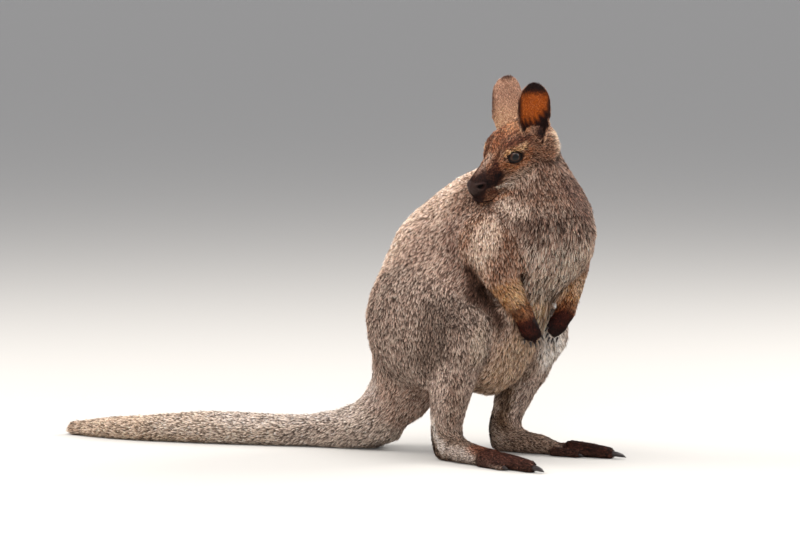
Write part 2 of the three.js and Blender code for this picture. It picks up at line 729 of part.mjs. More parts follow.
// Tail, in lengths from its root to its tip.
['tail_base', 'tail_middle', 'tail_end'].forEach((name, i) => {
  const beyondTip = { at: tailCurve.getPointAt(1).add(vec(-60, -16, 0)), way: tailCut[2].way };
  const next = tailCut[i + 1] ?? beyondTip;
  const { at, way } = tailCut[i];
  const whole = along(i ? tailForm : rooted, at, next.at, 78 - 18 * i, 30, [22, 16, 11][i], 44, vec(0, 0, 1));
  const cut = whole.intersect(beyond(at, way)).subtract(beyond(next.at, next.way, -GAP));
  add(name, cut.intersect(aboveFloor), 'coat');
});

for (const leg of legs) {
  const { name, hip, knee, ankle, forward, onFoot } = leg;
  const downShank = shankWay(leg);
  const ankleCut = ankle.clone().addScaledVector(downShank, -16);
  const thigh = surfaceOf(
    blendAt(knee, 90, 30, rooted, leg.shank),
    world,
    vec(hip.x - 130, Math.min(0, leg.side * 190), 60),
    vec(knee.x + 60, Math.max(0, leg.side * 190), 350),
    [33, 28, 33],
  );
  add('thigh_' + name, thigh.intersect(thighTool(leg, 0)).subtract(shankTool(leg)), 'coat');
  add('shank_' + name, shankSolid(leg, 0)
    .intersect(beyond(kneeCut(leg), downShank, 0, 240))
    .subtract(beyond(ankleCut, downShank, -GAP, 300)), 'limb');
  const footFrame = frameAt(onFoot(0, 0, 0), vec(0, 0, 1), forward);
  const footField = blend(14, leg.foot, leg.shank);
  const foot = surfaceOf(footField, footFrame, vec(-22, -34, -12), vec(162, 34, 76), [19, 14, 15])
    .intersect(beyond(ankleCut, downShank, 0, 700)).intersect(aboveFloor);
  const toeSolid = (toe, grow = 0) => egg(toe.root, toe.end, ...toe.radius, 1, leg.outward, grow, 10, 3);
  const toes = Object.entries(leg.toes);
  add('foot_' + name, toes.reduce((solid, [, toe]) => solid.subtract(toeSolid(toe, GAP)), foot), 'dark');
  for (const [toe, made] of toes) {
    const root = made.end.clone().addScaledVector(made.way, made.radius[1] - 3);
    const nail = (grow) => claw(root, made.way, ...made.nail, 24, grow);
    const lone = toe === 'four' ? toeSolid(made) : toeSolid(made).subtract(toeSolid(leg.toes.four, GAP));
    add('toe_' + toe + '_' + name, lone.subtract(nail(GAP)).intersect(aboveFloor), 'dark');
    add('claw_' + toe + '_' + name, nail(0).intersect(aboveFloor), 'claw');
  }
}

for (const arm of arms) {
  const { name, shoulder, elbow, wrist } = arm;
  const upper = surfaceOf(
    blendAt(elbow, 60, 20, rooted, arm.fore),
    world,
    vec(shoulder.x - 75, Math.min(arm.side * 20, arm.side * 150), 240),
    vec(shoulder.x + 85, Math.max(arm.side * 20, arm.side * 150), 440),
    [24, 23, 24],
  );
  add('upper_arm_' + name, upper
    .intersect(armTool(arm, 0))
    .subtract(headRoom)
    .subtract(beyond(elbow, elbowWay(arm), -GAP, 160)), 'coat');
  const fore = foreSolid(arm, 0)
    .intersect(beyond(elbow, elbowWay(arm), 0, 160))
    .subtract(beyond(wrist, foreWay(arm), -GAP, 120));
  add('forearm_' + name, fore, 'limb');
  const hand = handSolid(arm, 0);
  const nail = (digit, grow) => (
    claw(digit.end.clone().addScaledVector(digit.way, 1.6), digit.way, 10, 2, 30, grow)
  );
  add('hand_' + name, arm.digits.reduce((solid, digit) => solid.subtract(nail(digit, GAP)), hand), 'dark');
  arm.digits.forEach((digit, i) => add('claw_hand_' + name + '_' + (i + 1), nail(digit, 0), 'claw'));
}

// The origin is at the middle of the box round the whole animal, on the floor.
const bounds = new THREE.Box3().setFromObject(wallaby);
const middle = bounds.getCenter(new THREE.Vector3());
wallaby.position.set(-middle.x, -middle.y, -bounds.min.z);

export default wallaby;
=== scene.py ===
"""A red-necked wallaby, standing still with its head turned to the side.

The CAD solids give the outline out to the tips of the coat.  One skin stands for every solid of flesh
and lies inside them by the depth of the coat.  The coat is solid mesh over that skin: thin blades in
small clumps that follow the lie of the hair.  Lengths are in metres, in the frame of the CAD model:
+X is the way the hips face, +Y is the animal's left and +Z is up.
"""
import math

import bmesh
import bpy
import numpy as np
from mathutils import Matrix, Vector
from mathutils.bvhtree import BVHTree
from mathutils.kdtree import KDTree


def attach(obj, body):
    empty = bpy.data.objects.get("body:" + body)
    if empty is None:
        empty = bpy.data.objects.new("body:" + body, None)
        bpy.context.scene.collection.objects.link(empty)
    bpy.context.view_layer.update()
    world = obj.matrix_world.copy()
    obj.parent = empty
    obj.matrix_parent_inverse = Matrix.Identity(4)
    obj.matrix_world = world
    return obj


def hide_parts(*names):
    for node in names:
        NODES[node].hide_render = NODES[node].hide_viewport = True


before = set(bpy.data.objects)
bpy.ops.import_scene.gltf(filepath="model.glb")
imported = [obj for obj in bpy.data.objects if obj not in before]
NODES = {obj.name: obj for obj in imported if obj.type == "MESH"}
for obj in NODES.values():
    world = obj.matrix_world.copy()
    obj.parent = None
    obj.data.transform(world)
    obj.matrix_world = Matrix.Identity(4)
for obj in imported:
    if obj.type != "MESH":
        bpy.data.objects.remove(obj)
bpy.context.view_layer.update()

MM = 0.001
RNG = np.random.default_rng(7)


# ---------------------------------------------------------------- small helpers
def vec(*numbers):
    """A point or direction as an array of floats."""
    return np.array(numbers, float)


def mm(*numbers):
    """A point given in millimetres, in metres."""
    return np.array(numbers, float) * MM


def unit(vectors):
    """Vectors scaled to length one."""
    vectors = np.asarray(vectors, float)
    return vectors / np.maximum(np.linalg.norm(vectors, axis=-1, keepdims=True), 1e-12)


def ease(value, low, high):
    """0 below low, 1 above high, and smooth between them."""
    t = np.clip((value - low) / (high - low), 0, 1)
    return t * t * (3 - 2 * t)


def mix(a, b, share):
    """a where share is 0 and b where it is 1."""
    return a + (b - a) * share


def linear(colour):
    """A display colour from 0 to 255 as linear light."""
    c = np.asarray(colour, float) / 255
    return np.where(c <= 0.04045, c / 12.92, ((c + 0.055) / 1.055) ** 2.4)


def painted(tint, colour, share):
    """Colours covered with another colour, by a share for each point."""
    return mix(tint, vec(*colour), share[:, None])


def mirror(side):
    """Factors that flip points from left to right where side is -1."""
    return np.stack([np.ones(len(side)), side, np.ones(len(side))], 1)


def apart(points, place, scale=(1, 1, 1)):
    """How far points are from a place, the distance along each axis scaled."""
    return np.linalg.norm((points - vec(*place)) * vec(*scale), axis=1)


def bump(value, width):
    """A round hump of height 1 at 0 that ends at plus and minus width."""
    return np.maximum(0, 1 - (value / width) ** 2) ** 2


def hill(value, middle, width):
    """A hump of height 1 at middle that fades over a few times width."""
    return np.exp(-((value - middle) / width) ** 2)


def turned(axis, degrees):
    """The matrix that turns a point about the x, y or z axis."""
    c, s = math.cos(math.radians(degrees)), math.sin(math.radians(degrees))
    i, j = {"x": (1, 2), "y": (2, 0), "z": (0, 1)}[axis]
    m = np.eye(3)
    m[i, i], m[j, j], m[i, j], m[j, i] = c, c, -s, s
    return m


def noise(points, cell, seed):
    """Smooth noise from 0 to 1 that varies over lengths of about cell."""
    p = np.asarray(points) / cell + 137.0
    base = np.floor(p).astype(np.int64)
    f = p - base
    f = f * f * (3 - 2 * f)
    total = np.zeros(len(p))
    for corner in range(8):
        step = np.array([corner & 1, corner >> 1 & 1, corner >> 2 & 1])
        key = (base + step) @ np.array([73856093, 19349663, 83492791]) + seed * 2654435761
        key = (key ^ (key >> 13)) * 1274126177 & 0xFFFFFFFF
        key = (key ^ (key >> 16)) * 2246822519 & 0xFFFFFFFF
        value = (key ^ (key >> 15)) % 65536 / 65535
        share = np.where(step, f, 1 - f).prod(1)
        total += value * share
    return total


# ---------------------------------------------------------------- the head's own frame
# x runs forward out of the nose, y to the head's left and z up, in millimetres from the nose's tip.
NOSE_TIP = mm(292.0, -88.2, 416.0)
HEAD_TURN = turned("z", -117) @ turned("y", 29) @ turned("x", -10)


def to_head(points):
    """Points of the row frame in the head's frame, in millimetres."""
    return (np.asarray(points) - NOSE_TIP) @ HEAD_TURN / MM


def from_head(points):
    """Points of the head's frame, given in millimetres, in the row frame."""
    return np.asarray(points, float) * MM @ HEAD_TURN.T + NOSE_TIP


EYE_SIDE = 24.5
EYE_PLACE = vec(-77, EYE_SIDE, 25)
EYE_RADIUS = 12.0


# ---------------------------------------------------------------- camera, light and floor
LAMP_TARGET = (0.2, 0, 0.3)
FLOOR_REACH = 90


def new_object(name, data):
    """An object of that mesh, lamp or lens, in the scene."""
    made = bpy.data.objects.new(name, data)
    bpy.context.scene.collection.objects.link(made)
    return made


def set_inputs(node, values):
    """Sets the inputs of a shader node by name."""
    for name, value in values.items():
        node.inputs[name].default_value = value


def add_camera():
    """The camera, at the place and with the lens that frame the animal."""
    lens = bpy.data.cameras.new("camera")
    lens.sensor_width = 36
    lens.lens = 175.5
    lens.clip_end = 300
    camera = new_object("camera", lens)
    camera.location = (3.4048, -5.0772, 0.83)
    camera.rotation_euler = (math.radians(84.9), 0, math.radians(33))
    bpy.context.scene.camera = camera


def add_lamp(name, location, size, power, colour, gloss=True):
    """A soft square lamp aimed at the animal's middle.  Without gloss it makes no highlights."""
    lamp = bpy.data.lights.new(name, "AREA")
    lamp.size = size
    lamp.energy = power
    lamp.color = colour
    holder = new_object(name, lamp)
    holder.location = location
    holder.rotation_euler = (Vector(LAMP_TARGET) - Vector(location)).to_track_quat("-Z", "Y").to_euler()
    holder.visible_glossy = gloss


def add_light():
    """Even studio light: a broad top lamp, a front fill, and two from behind that draw the outline."""
    add_lamp("lamp_top", (0.7, -0.5, 3.2), 2.6, 120, (1.0, 0.98, 0.95))
    add_lamp("lamp_front", (2.0, -3.8, 1.7), 2.0, 118, (1.0, 0.99, 0.97), gloss=False)
    add_lamp("lamp_rim", (2.0, 2.2, 2.2), 1.6, 130, (1.0, 0.97, 0.93))
    add_lamp("lamp_back", (-2.5, -1.5, 2.3), 2.0, 165, (1.0, 0.97, 0.93), gloss=False)
    world = bpy.data.worlds.new("studio")
    world.use_nodes = True
    set_inputs(world.node_tree.nodes["Background"], {"Color": (0.93, 0.95, 1.0, 1), "Strength": 0.72})
    bpy.context.scene.world = world
    bpy.context.scene.view_settings.view_transform = "Standard"


def add_floor():
    """A plain pale floor."""
    low, high = -FLOOR_REACH, FLOOR_REACH
    mesh = bpy.data.meshes.new("floor")
    mesh.from_pydata([(low, low, 0), (high, low, 0), (high, high, 0), (low, high, 0)], [], [(0, 1, 2, 3)])
    floor = new_object("floor", mesh)
    material = bpy.data.materials.new("floor")
    material.use_nodes = True
    shader = material.node_tree.nodes["Principled BSDF"]
    set_inputs(shader, {"Base Color": (0.4, 0.385, 0.365, 1), "Roughness": 0.85})
    mesh.materials.append(material)


# ---------------------------------------------------------------- mesh tools
def node_arrays(node, swell=0.0):
    """Vertices and triangles of a CAD node, welded and swollen along its normals."""
    bm = bmesh.new()
    bm.from_mesh(NODES[node].data)
    bmesh.ops.remove_doubles(bm, verts=bm.verts, dist=1e-6)
    bmesh.ops.triangulate(bm, faces=bm.faces)
    bm.normal_update()
    bm.verts.index_update()
    points = np.array([v.co + v.normal * swell for v in bm.verts])
    faces = np.array([[v.index for v in f.verts] for f in bm.faces])
    bm.free()
    return points, faces


def new_mesh(name, faces, points, colours=None, normals=None):
    """A mesh from arrays, with a colour in linear light and a shading normal for each vertex if given.

    All faces have the same number of corners.
    """
    mesh = bpy.data.meshes.new(name)
    mesh.vertices.add(len(points))
    mesh.vertices.foreach_set("co", np.asarray(points, np.float32).ravel())
    mesh.loops.add(faces.size)
    mesh.loops.foreach_set("vertex_index", faces.astype(np.int32).ravel())
    mesh.polygons.add(len(faces))
    mesh.polygons.foreach_set("loop_start", np.arange(0, faces.size, faces.shape[1], dtype=np.int32))
    mesh.update(calc_edges=True)
    if colours is not None:
        rgba = np.concatenate([colours, np.ones((len(colours), 1))], 1).astype(np.float32)
        mesh.color_attributes.new("tint", "FLOAT_COLOR", "POINT").data.foreach_set("color", rgba.ravel())
    if normals is not None:
        shading = mesh.attributes.new("custom_normal", "FLOAT_VECTOR", "POINT")
        shading.data.foreach_set("vector", np.asarray(normals, np.float32).ravel())
    return mesh


def read(items, name, kind=np.int32, width=1):
    """One number, or width numbers, from each item of a mesh."""
    values = np.empty(len(items) * width, kind)
    items.foreach_get(name, values)
    return values


def remeshed(points, faces, voxel):
    """The outer surface of closed bodies that may overlap, as quads of about one voxel."""
    source = new_object("source", new_mesh("source", faces, points))
    modifier = source.modifiers.new("voxel", "REMESH")
    modifier.mode = "VOXEL"
    modifier.voxel_size = voxel
    modifier.adaptivity = 0
    result = source.evaluated_get(bpy.context.evaluated_depsgraph_get())
    mesh = result.to_mesh()
    out = read(mesh.vertices, "co", np.float32, 3).reshape(-1, 3).astype(float)
    quads = read(mesh.loops, "vertex_index").reshape(-1, 4)
    result.to_mesh_clear()
    bpy.data.objects.remove(source)
    return out, quads


def edges_of(faces):
    """Each edge once, as a pair of vertex numbers, and the number of each side's edge."""
    sides = np.sort(np.stack([faces, np.roll(faces, -1, 1)], 2).reshape(-1, 2).astype(np.int64), 1)
    keys, place = np.unique(sides[:, 0] << 32 | sides[:, 1], return_inverse=True)
    return np.stack([keys >> 32, keys & 0xFFFFFFFF], 1), place.reshape(faces.shape)


def around(values, edges):
    """For each point the sum of its neighbours' values, a column for each value."""
    a, b = edges.T
    return np.stack([np.bincount(a, v[b], len(v)) + np.bincount(b, v[a], len(v)) for v in values.T], 1)


def degree_of(count, edges):
    """How many neighbours each point has, as a column."""
    return np.bincount(edges.ravel(), minlength=count)[:, None]


def smoothed(points, edges, rounds, weight=1.0):
    """Smooths a surface without shrinking it: steps in are followed by steps out."""
    degree = np.maximum(degree_of(len(points), edges), 1)
    weight = np.reshape(weight, (-1, 1))
    p = points.copy()
    for step in range(rounds):
        for share in (0.55, -0.57):
            p += (around(p, edges) / degree - p) * share * weight
    return p


def soothed(points, edges, weight):
    """The surface with the steps at the elbows and knees worn away."""
    share = np.zeros(len(points))
    for place, reach in JOINTS:
        far = np.linalg.norm(points - mm(*place), axis=1) / MM
        share = np.maximum(share, ease(-far, -reach, -0.6 * reach))
    share = share * weight
    near = share > 0
    inside = edges[near[edges].any(1)]
    degree = np.maximum(degree_of(len(points), inside), 1)
    p = points.copy()
    for step in range(SOOTHING):
        p[near] += ((around(p, inside) / degree - p) * 0.5 * share[:, None])[near]
    return p


def spread(values, edges, rounds):
    """Values averaged with those of their neighbours, several times."""
    count = len(values)
    degree = degree_of(count, edges) + 1.0
    flat = np.asarray(values, float).reshape(count, -1)
    for step in range(rounds):
        flat = (around(flat, edges) + flat) / degree
    return flat.reshape(values.shape)


def normals_of(points, faces):
    """Unit normals of the vertices of triangles."""
    a, b, c = points[faces].transpose(1, 0, 2)
    n = np.cross(b - a, c - a).T
    return unit(np.stack([sum(np.bincount(corner, m, len(points)) for corner in faces.T) for m in n], 1))


def areas_of(skin):
    """The area of each triangle of the skin."""
    a, b, c = skin.points[skin.faces].transpose(1, 0, 2)
    return np.linalg.norm(np.cross(b - a, c - a), axis=1) / 2


# ---------------------------------------------------------------- the body's parts and the lie of the hair
# For each kind of flesh node: length of the hair, depth of the coat over the skin, width of a blade, how
# far the node is swollen so that the joints close, all in millimetres, and the colour of its hair.
KINDS = {
    "trunk": (9.0, 5.0, 0.95, 0.6, (150, 124, 112)),
    "neck": (8.0, 4.4, 0.9, 0.6, (112, 86, 73)),
    "head": (4.6, 1.6, 0.7, 0.5, (116, 80, 60)),
    "nose": (2.2, 0.4, 0.6, 0.5, (40, 20, 14)),
    "eye": (2.0, 0.1, 0.6, 0.3, (60, 40, 30)),
    "ear": (3.6, 0.7, 0.6, 0.3, (176, 140, 118)),
    "tail_base": (8.5, 4.0, 0.95, 0.6, (168, 152, 142)),
    "tail_middle": (8.0, 3.2, 0.95, 0.6, (186, 168, 154)),
    "tail_end": (9.0, 2.6, 0.9, 0.5, (178, 156, 138)),
    "thigh": (9.0, 4.6, 0.95, 1.4, (138, 118, 108)),
    "shank": (7.5, 2.4, 0.85, 1.4, (170, 148, 138)),
    "foot": (6.0, 1.7, 0.8, 0.6, (110, 90, 78)),
    "toe": (4.5, 1.0, 0.7, 0.5, (62, 40, 33)),
    "upper_arm": (8.5, 3.8, 0.9, 0.6, (140, 106, 88)),
    "forearm": (8.0, 2.4, 0.85, 0.5, (172, 118, 76)),
    "hand": (3.6, 1.0, 0.6, 0.4, (30, 10, 7)),
}
FLESH = [n for n in NODES if not n.startswith("claw")]

# Guides for the lie of the hair: a place and the way that the hair points there, for the kinds named.
LIE = (
    ("trunk neck", (300, 17, 450), (-0.25, 0, -1)),
    ("trunk neck", (225, 17, 420), (-0.75, 0, -0.66)),
    ("trunk", (150, 17, 350), (-0.55, 0, -0.85)),
    ("trunk", (75, 17, 240), (-0.12, 0, -1)),
    ("trunk tail_base", (60, 10, 120), (-0.45, 0, -0.9)),
    ("trunk", (250, -60, 340), (-0.5, 0, -0.87)),
    ("trunk", (250, 94, 340), (-0.5, 0, -0.87)),
    ("trunk", (190, -60, 230), (-0.28, 0, -0.96)),
    ("trunk", (190, 94, 230), (-0.28, 0, -0.96)),
    ("trunk neck", (415, 25, 400), (0.12, 0, -1)),
    ("trunk", (420, 25, 330), (-0.25, 0, -0.97)),
    ("trunk", (365, 22, 250), (-0.42, 0, -0.9)),
    ("trunk", (320, 17, 160), (-0.7, 0, -0.7)),
    ("trunk", (220, 17, 95), (-0.96, 0, -0.25)),
    ("neck", (330, -50, 420), (0.05, 0.1, -1)),
    ("neck", (330, 90, 430), (0.0, 0.05, -1)),
)
# The lie over the head, in the head's own frame.
HEAD_LIE = (
    ((-5, 0, 8), (-1, 0, 0.25)),
    ((-20, 14, -6), (-1, 0.1, -0.15)),
    ((-45, 18, -8), (-1, 0.1, -0.25)),
    ((-50, 8, 22), (-1, 0.1, 0.4)),
    ((-85, 0, 48), (-1, 0, 0.2)),
    ((-112, 0, 54), (-1, 0, -0.1)),
    ((-80, 38, 10), (-1, 0.2, -0.5)),
    ((-110, 45, 0), (-0.8, 0.1, -0.75)),
    ((-30, 0, -30), (-1, 0, -0.2)),
)
# Limbs and tail: the hair runs from the first place to the second.
BONES = {
    "thigh_left": ((168, 71, 250), (185, 90, 60)),
    "thigh_right": ((160, -37, 250), (168, -66, 60)),
    "shank_left": ((307, 105, 190), (243, 87, 40)),
    "shank_right": ((267, -73, 190), (225, -50, 40)),
    "foot_left": ((243, 87, 40), (420, 102, 10)),
    "foot_right": ((225, -50, 40), (400, -92, 10)),
    "upper_arm_left": ((335, 75, 375), (365, 87, 282)),
    "upper_arm_right": ((305, -45, 375), (323, -65, 284)),
    "forearm_left": ((365, 87, 282), (373, 57, 228)),
    "forearm_right": ((323, -65, 284), (343, -25, 230)),
    "hand_left": ((373, 57, 228), (360, 34, 192)),
    "hand_right": ((343, -25, 230), (355, -9, 188)),
    "tail_base": ((110, 15, 110), (-20, -20, 30)),
    "tail_middle": ((-20, -20, 26), (-215, -90, 24)),
    "tail_end": ((-230, -92, 24), (-467, -125, 9)),
}
EARS = {"left": (1, (4, -26, -30)), "right": (-1, (8, -24, -190))}
EAR_ROOT = vec(-116, 30, 28)
EAR_LENGTH = 90.0
EAR_HALF = 26.0


def kind_of(node):
    """The kind of a node, from its name."""
    return max((k for k in KINDS if node.startswith(k)), key=len)


def is_kind(skin, names):
    """True for the points of the skin whose node is of one of the kinds named."""
    return np.isin([kind_of(n) for n in skin.nodes], names.split())[skin.label]


def ear_turn(side):
    """The matrix that turns an ear's own frame, z up its length and y out of its hollow, to the head's."""
    a, b, c = EARS[side][1]
    return turned("x", a) @ turned("y", b) @ turned("z", c)


def in_ear(points, side):
    """Points in an ear's own frame, in millimetres."""
    root = EAR_ROOT * vec(1, EARS[side][0], 1)
    return (to_head(points) - root) @ ear_turn(side)


def ear_hollow(points, normals, side):
    """1 on the hollow face of an ear, 0 on its back, and how far up the ear each point is, from 0 to 1."""
    p = in_ear(points, side)
    n = normals @ HEAD_TURN @ ear_turn(side)
    t = np.clip(p[:, 2] / EAR_LENGTH, 0, 1)
    curl = np.radians(mix(118, 46, ease(t, 0.02, 0.6)))
    width = EAR_HALF * np.sqrt(np.maximum(0.02, 1 - np.maximum(0, (t - 0.5) / 0.515) ** 3))
    width = width * mix(0.62, 1, ease(t, 0, 0.42))
    middle = width / np.sin(np.minimum(curl, math.pi / 2)) - 12 * (1 - t) - 5 * t * t
    inward = np.stack([-p[:, 0], middle - p[:, 1], 0 * t], 1)
    return ease((unit(inward) * n).sum(1), -0.15, 0.25), t


# ---------------------------------------------------------------- the skin
# The joints where one node's solid steps down to the next, and how far round them the step reaches.
JOINTS = (
    ((331, -59, 286), 50),
    ((365, 87, 284), 46),
    ((258, -70, 160), 46),
    ((298, 98, 162), 46),
    (from_head((-142, 34, 8)) / MM, 44),
    (from_head((-142, -34, 8)) / MM, 44),
)
# Rounds of smoothing at those joints, and the size of the skin's voxels in metres.
SOOTHING = 45
VOXEL = 0.004


def swollen(points, centre, radius, gain, back=False):
    """Points blown up within radius of a centre, those round them moved outwards, or the reverse."""
    away = points - centre
    far = np.maximum(np.linalg.norm(away, axis=-1, keepdims=True), 1e-9)
    if back:
        return centre + away * np.where(far < radius * gain, 1 / gain, 1 - (gain - 1) * radius / far)
    return centre + away * np.where(far < radius, gain, 1 + (gain - 1) * radius / far)


# The face and the hands are swollen while the skin is remeshed, so that its voxels are finer there.
FACE = (from_head((-80, 0, 25)), 0.085, 3.0)
HANDS = (swollen(mm(357, 12, 198), *FACE), 0.045, 2.2)


def refined(points, faces, chosen):
    """The surface with the chosen triangles cut in four, and their neighbours cut to meet them."""
    pairs, place = edges_of(faces)
    cut = np.zeros(len(pairs), bool)
    cut[place[chosen].ravel()] = True
    number = np.where(cut, len(points) + np.cumsum(cut) - 1, -1)
    points = np.concatenate([points, points[pairs[cut]].mean(1)])
    halves = number[place]
    many = (halves >= 0).sum(1)
    out = [faces[many == 0]]
    whole = many == 3
    a, b, c = faces[whole].T
    p, q, r = halves[whole].T
    out += [np.stack(t, 1) for t in ((a, p, r), (p, b, q), (r, q, c), (p, q, r))]
    for turn in range(3):
        f, h = np.roll(faces, -turn, 1), np.roll(halves, -turn, 1)
        one = (many == 1) & (h[:, 0] >= 0)
        a, b, c = f[one].T
        p = h[one, 0]
        out += [np.stack(t, 1) for t in ((a, p, c), (p, b, c))]
        two = (many == 2) & (h[:, 2] < 0)
        a, b, c = f[two].T
        p, q = h[two, 0], h[two, 1]
        out += [np.stack(t, 1) for t in ((p, b, q), (a, p, q), (a, q, c))]
    return points, np.concatenate(out)


def near_eyes(points, reach):
    """True within reach, in millimetres, of either eye."""
    q = to_head(points)
    q[:, 1] = np.abs(q[:, 1])
    return apart(q, EYE_PLACE) < reach


def near_muzzle(points):
    """True over the front of the muzzle and along the mouth."""
    q = to_head(points)
    return (q[:, 0] > -58) & (apart(q, (-20, 0, -10)) < 48)


class Skin:
    """The bare skin: its points and triangles, and what is known of each point."""


def nearest_nodes(points, solid_points, solid_faces, labels):
    """The node whose surface is nearest to each point."""
    names = sorted(set(labels))
    number = np.array([names.index(n) for n in labels])
    tree = BVHTree.FromPolygons(solid_points.tolist(), solid_faces.tolist())
    found = [tree.find_nearest(q)[2] for q in points.tolist()]
    return names, number[np.array(found)]


def build_skin():
    """One closed surface through all the solids of flesh, set in by the depth of the coat."""
    skin = Skin()
    parts, all_faces, labels, count = [], [], [], 0
    for node in FLESH:
        points, faces = node_arrays(node, KINDS[kind_of(node)][3] * MM)
        parts.append(points)
        all_faces.append(faces + count)
        count += len(points)
        labels += [node] * len(faces)
    points, faces = np.concatenate(parts), np.concatenate(all_faces)
    p, f = remeshed(swollen(swollen(points, *FACE), *HANDS), faces, VOXEL)
    p = swollen(swollen(p, *HANDS, back=True), *FACE, back=True)
    f = np.concatenate([f[:, [0, 1, 2]], f[:, [0, 2, 3]]])
    edges = edges_of(f)[0]
    p = smoothed(p, edges, 6)
    # The body is smoothed strongly, and the small parts little, so that they keep their shapes.
    skin.nodes, skin.label = nearest_nodes(p, points, faces, labels)
    small = is_kind(skin, "ear hand toe")
    p = smoothed(p, edges, 16, spread(np.where(small, 0.12, 1.0), edges, 3))
    body = spread(np.where(small | is_kind(skin, "head nose eye"), 0.0, 1.0), edges, 4)
    body[(body < 0.02) | small] = 0
    inside = edges[(body[edges] > 0).all(1)]
    body *= np.bincount(inside.ravel(), minlength=len(p)) > 0
    p = smoothed(p, inside, 80, body)
    p = soothed(p, edges, 1.0 - small)
    # The eyes and the muzzle get finer triangles, for their folds.
    middles = p[f].mean(1)
    p, f = refined(p, f, near_eyes(middles, 19) | near_muzzle(middles))
    p, f = refined(p, f, near_eyes(p[f].mean(1), 16))
    edges = edges_of(f)[0]
    p = smoothed(p, edges, 4, 1.0 * (near_eyes(p, 24) | near_muzzle(p)))
    skin.nodes, skin.label = nearest_nodes(p, points, faces, labels)
    skin.faces, skin.edges = f, edges
    settings = np.array([KINDS[kind_of(n)][:4] for n in skin.nodes])
    amounts = spread(settings[skin.label], edges, 8)
    muzzle = ease(-apart(to_head(p), (-12, 0, -4), (0.7, 1, 1)), -48, -20)
    skin.length = amounts[:, 0] * mix(1, 0.45, muzzle)
    skin.depth = amounts[:, 1] * mix(1, 0.15, muzzle)
    skin.width = amounts[:, 2]
    inset = skin.depth + amounts[:, 3] * 0.9
    p = p - normals_of(p, f) * inset[:, None] * MM
    skin.points = smoothed(p, edges, 3, np.where(is_kind(skin, "ear hand toe head nose eye"), 0.2, 1.0))
    skin.normals = normals_of(skin.points, f)
    return skin


# ---------------------------------------------------------------- folds of the head
# An eye's opening: half its width and its height above and below the middle line, in millimetres.
LID_HALF, LID_UP, LID_DOWN = 10.8, 6.9, 6.0
EYE_AXIS = unit(vec(0.10, 0.94, 0.27))
EYE_TILT = 20.0
NOSTRIL = vec(-13.5, 13.0, 7.5)


def eye_plane(q):
    """Where head points lie in the near eye's own plane: along and above the eye's middle."""
    forward = unit(np.cross(np.cross(EYE_AXIS, vec(1, 0, 0)), EYE_AXIS))
    up = np.cross(forward, EYE_AXIS) * -1
    up = up * np.sign(up[2])
    c, s = math.cos(math.radians(EYE_TILT)), math.sin(math.radians(EYE_TILT))
    d = q - EYE_PLACE
    u, v = d @ forward, d @ up
    return u * c + v * s, -u * s + v * c


def lid_gap(q):
    """How far outside the eye's opening a point is: negative inside it, 0 at the lid's edge."""
    u, v = eye_plane(q)
    high = np.where(v > 0, LID_UP, LID_DOWN)
    return ((np.abs(u) / LID_HALF) ** 1.5 + (np.abs(v) / high) ** 1.8) ** 0.6 - 1


def near_line(q, line):
    """Distance of points from a line through several places."""
    best = np.full(len(q), 1e9)
    line = np.array(line, float)
    for start, end in zip(line, line[1:]):
        d = end - start
        t = np.clip((q - start) @ d / (d @ d), 0, 1)
        best = np.minimum(best, np.linalg.norm(q - start - t[:, None] * d, axis=1))
    return best


# The line of the mouth from the cheek to the middle: places along the head and their heights.
MOUTH_BACK = (-60, -50, -46, -38, -29, -22, -14, -6, 0)
MOUTH_HIGH = (-15.0, -17.5, -18.5, -20, -21.5, -23.5, -22.0, -19.5, -18.5)


# The split of the upper lip, from between the nostrils down.
LIP_SPLIT = ((-1, 0, 0), (-2, 0, -10), (-6, 0, -19))


def above_mouth(q):
    """How far head points are above the line of the mouth."""
    return q[:, 2] - np.interp(q[:, 0], MOUTH_BACK, MOUTH_HIGH)


def nostril_gap(q):
    """How far head points are from the near nostril's middle."""
    return apart(q, NOSTRIL, (1, 0.7, 1.3))


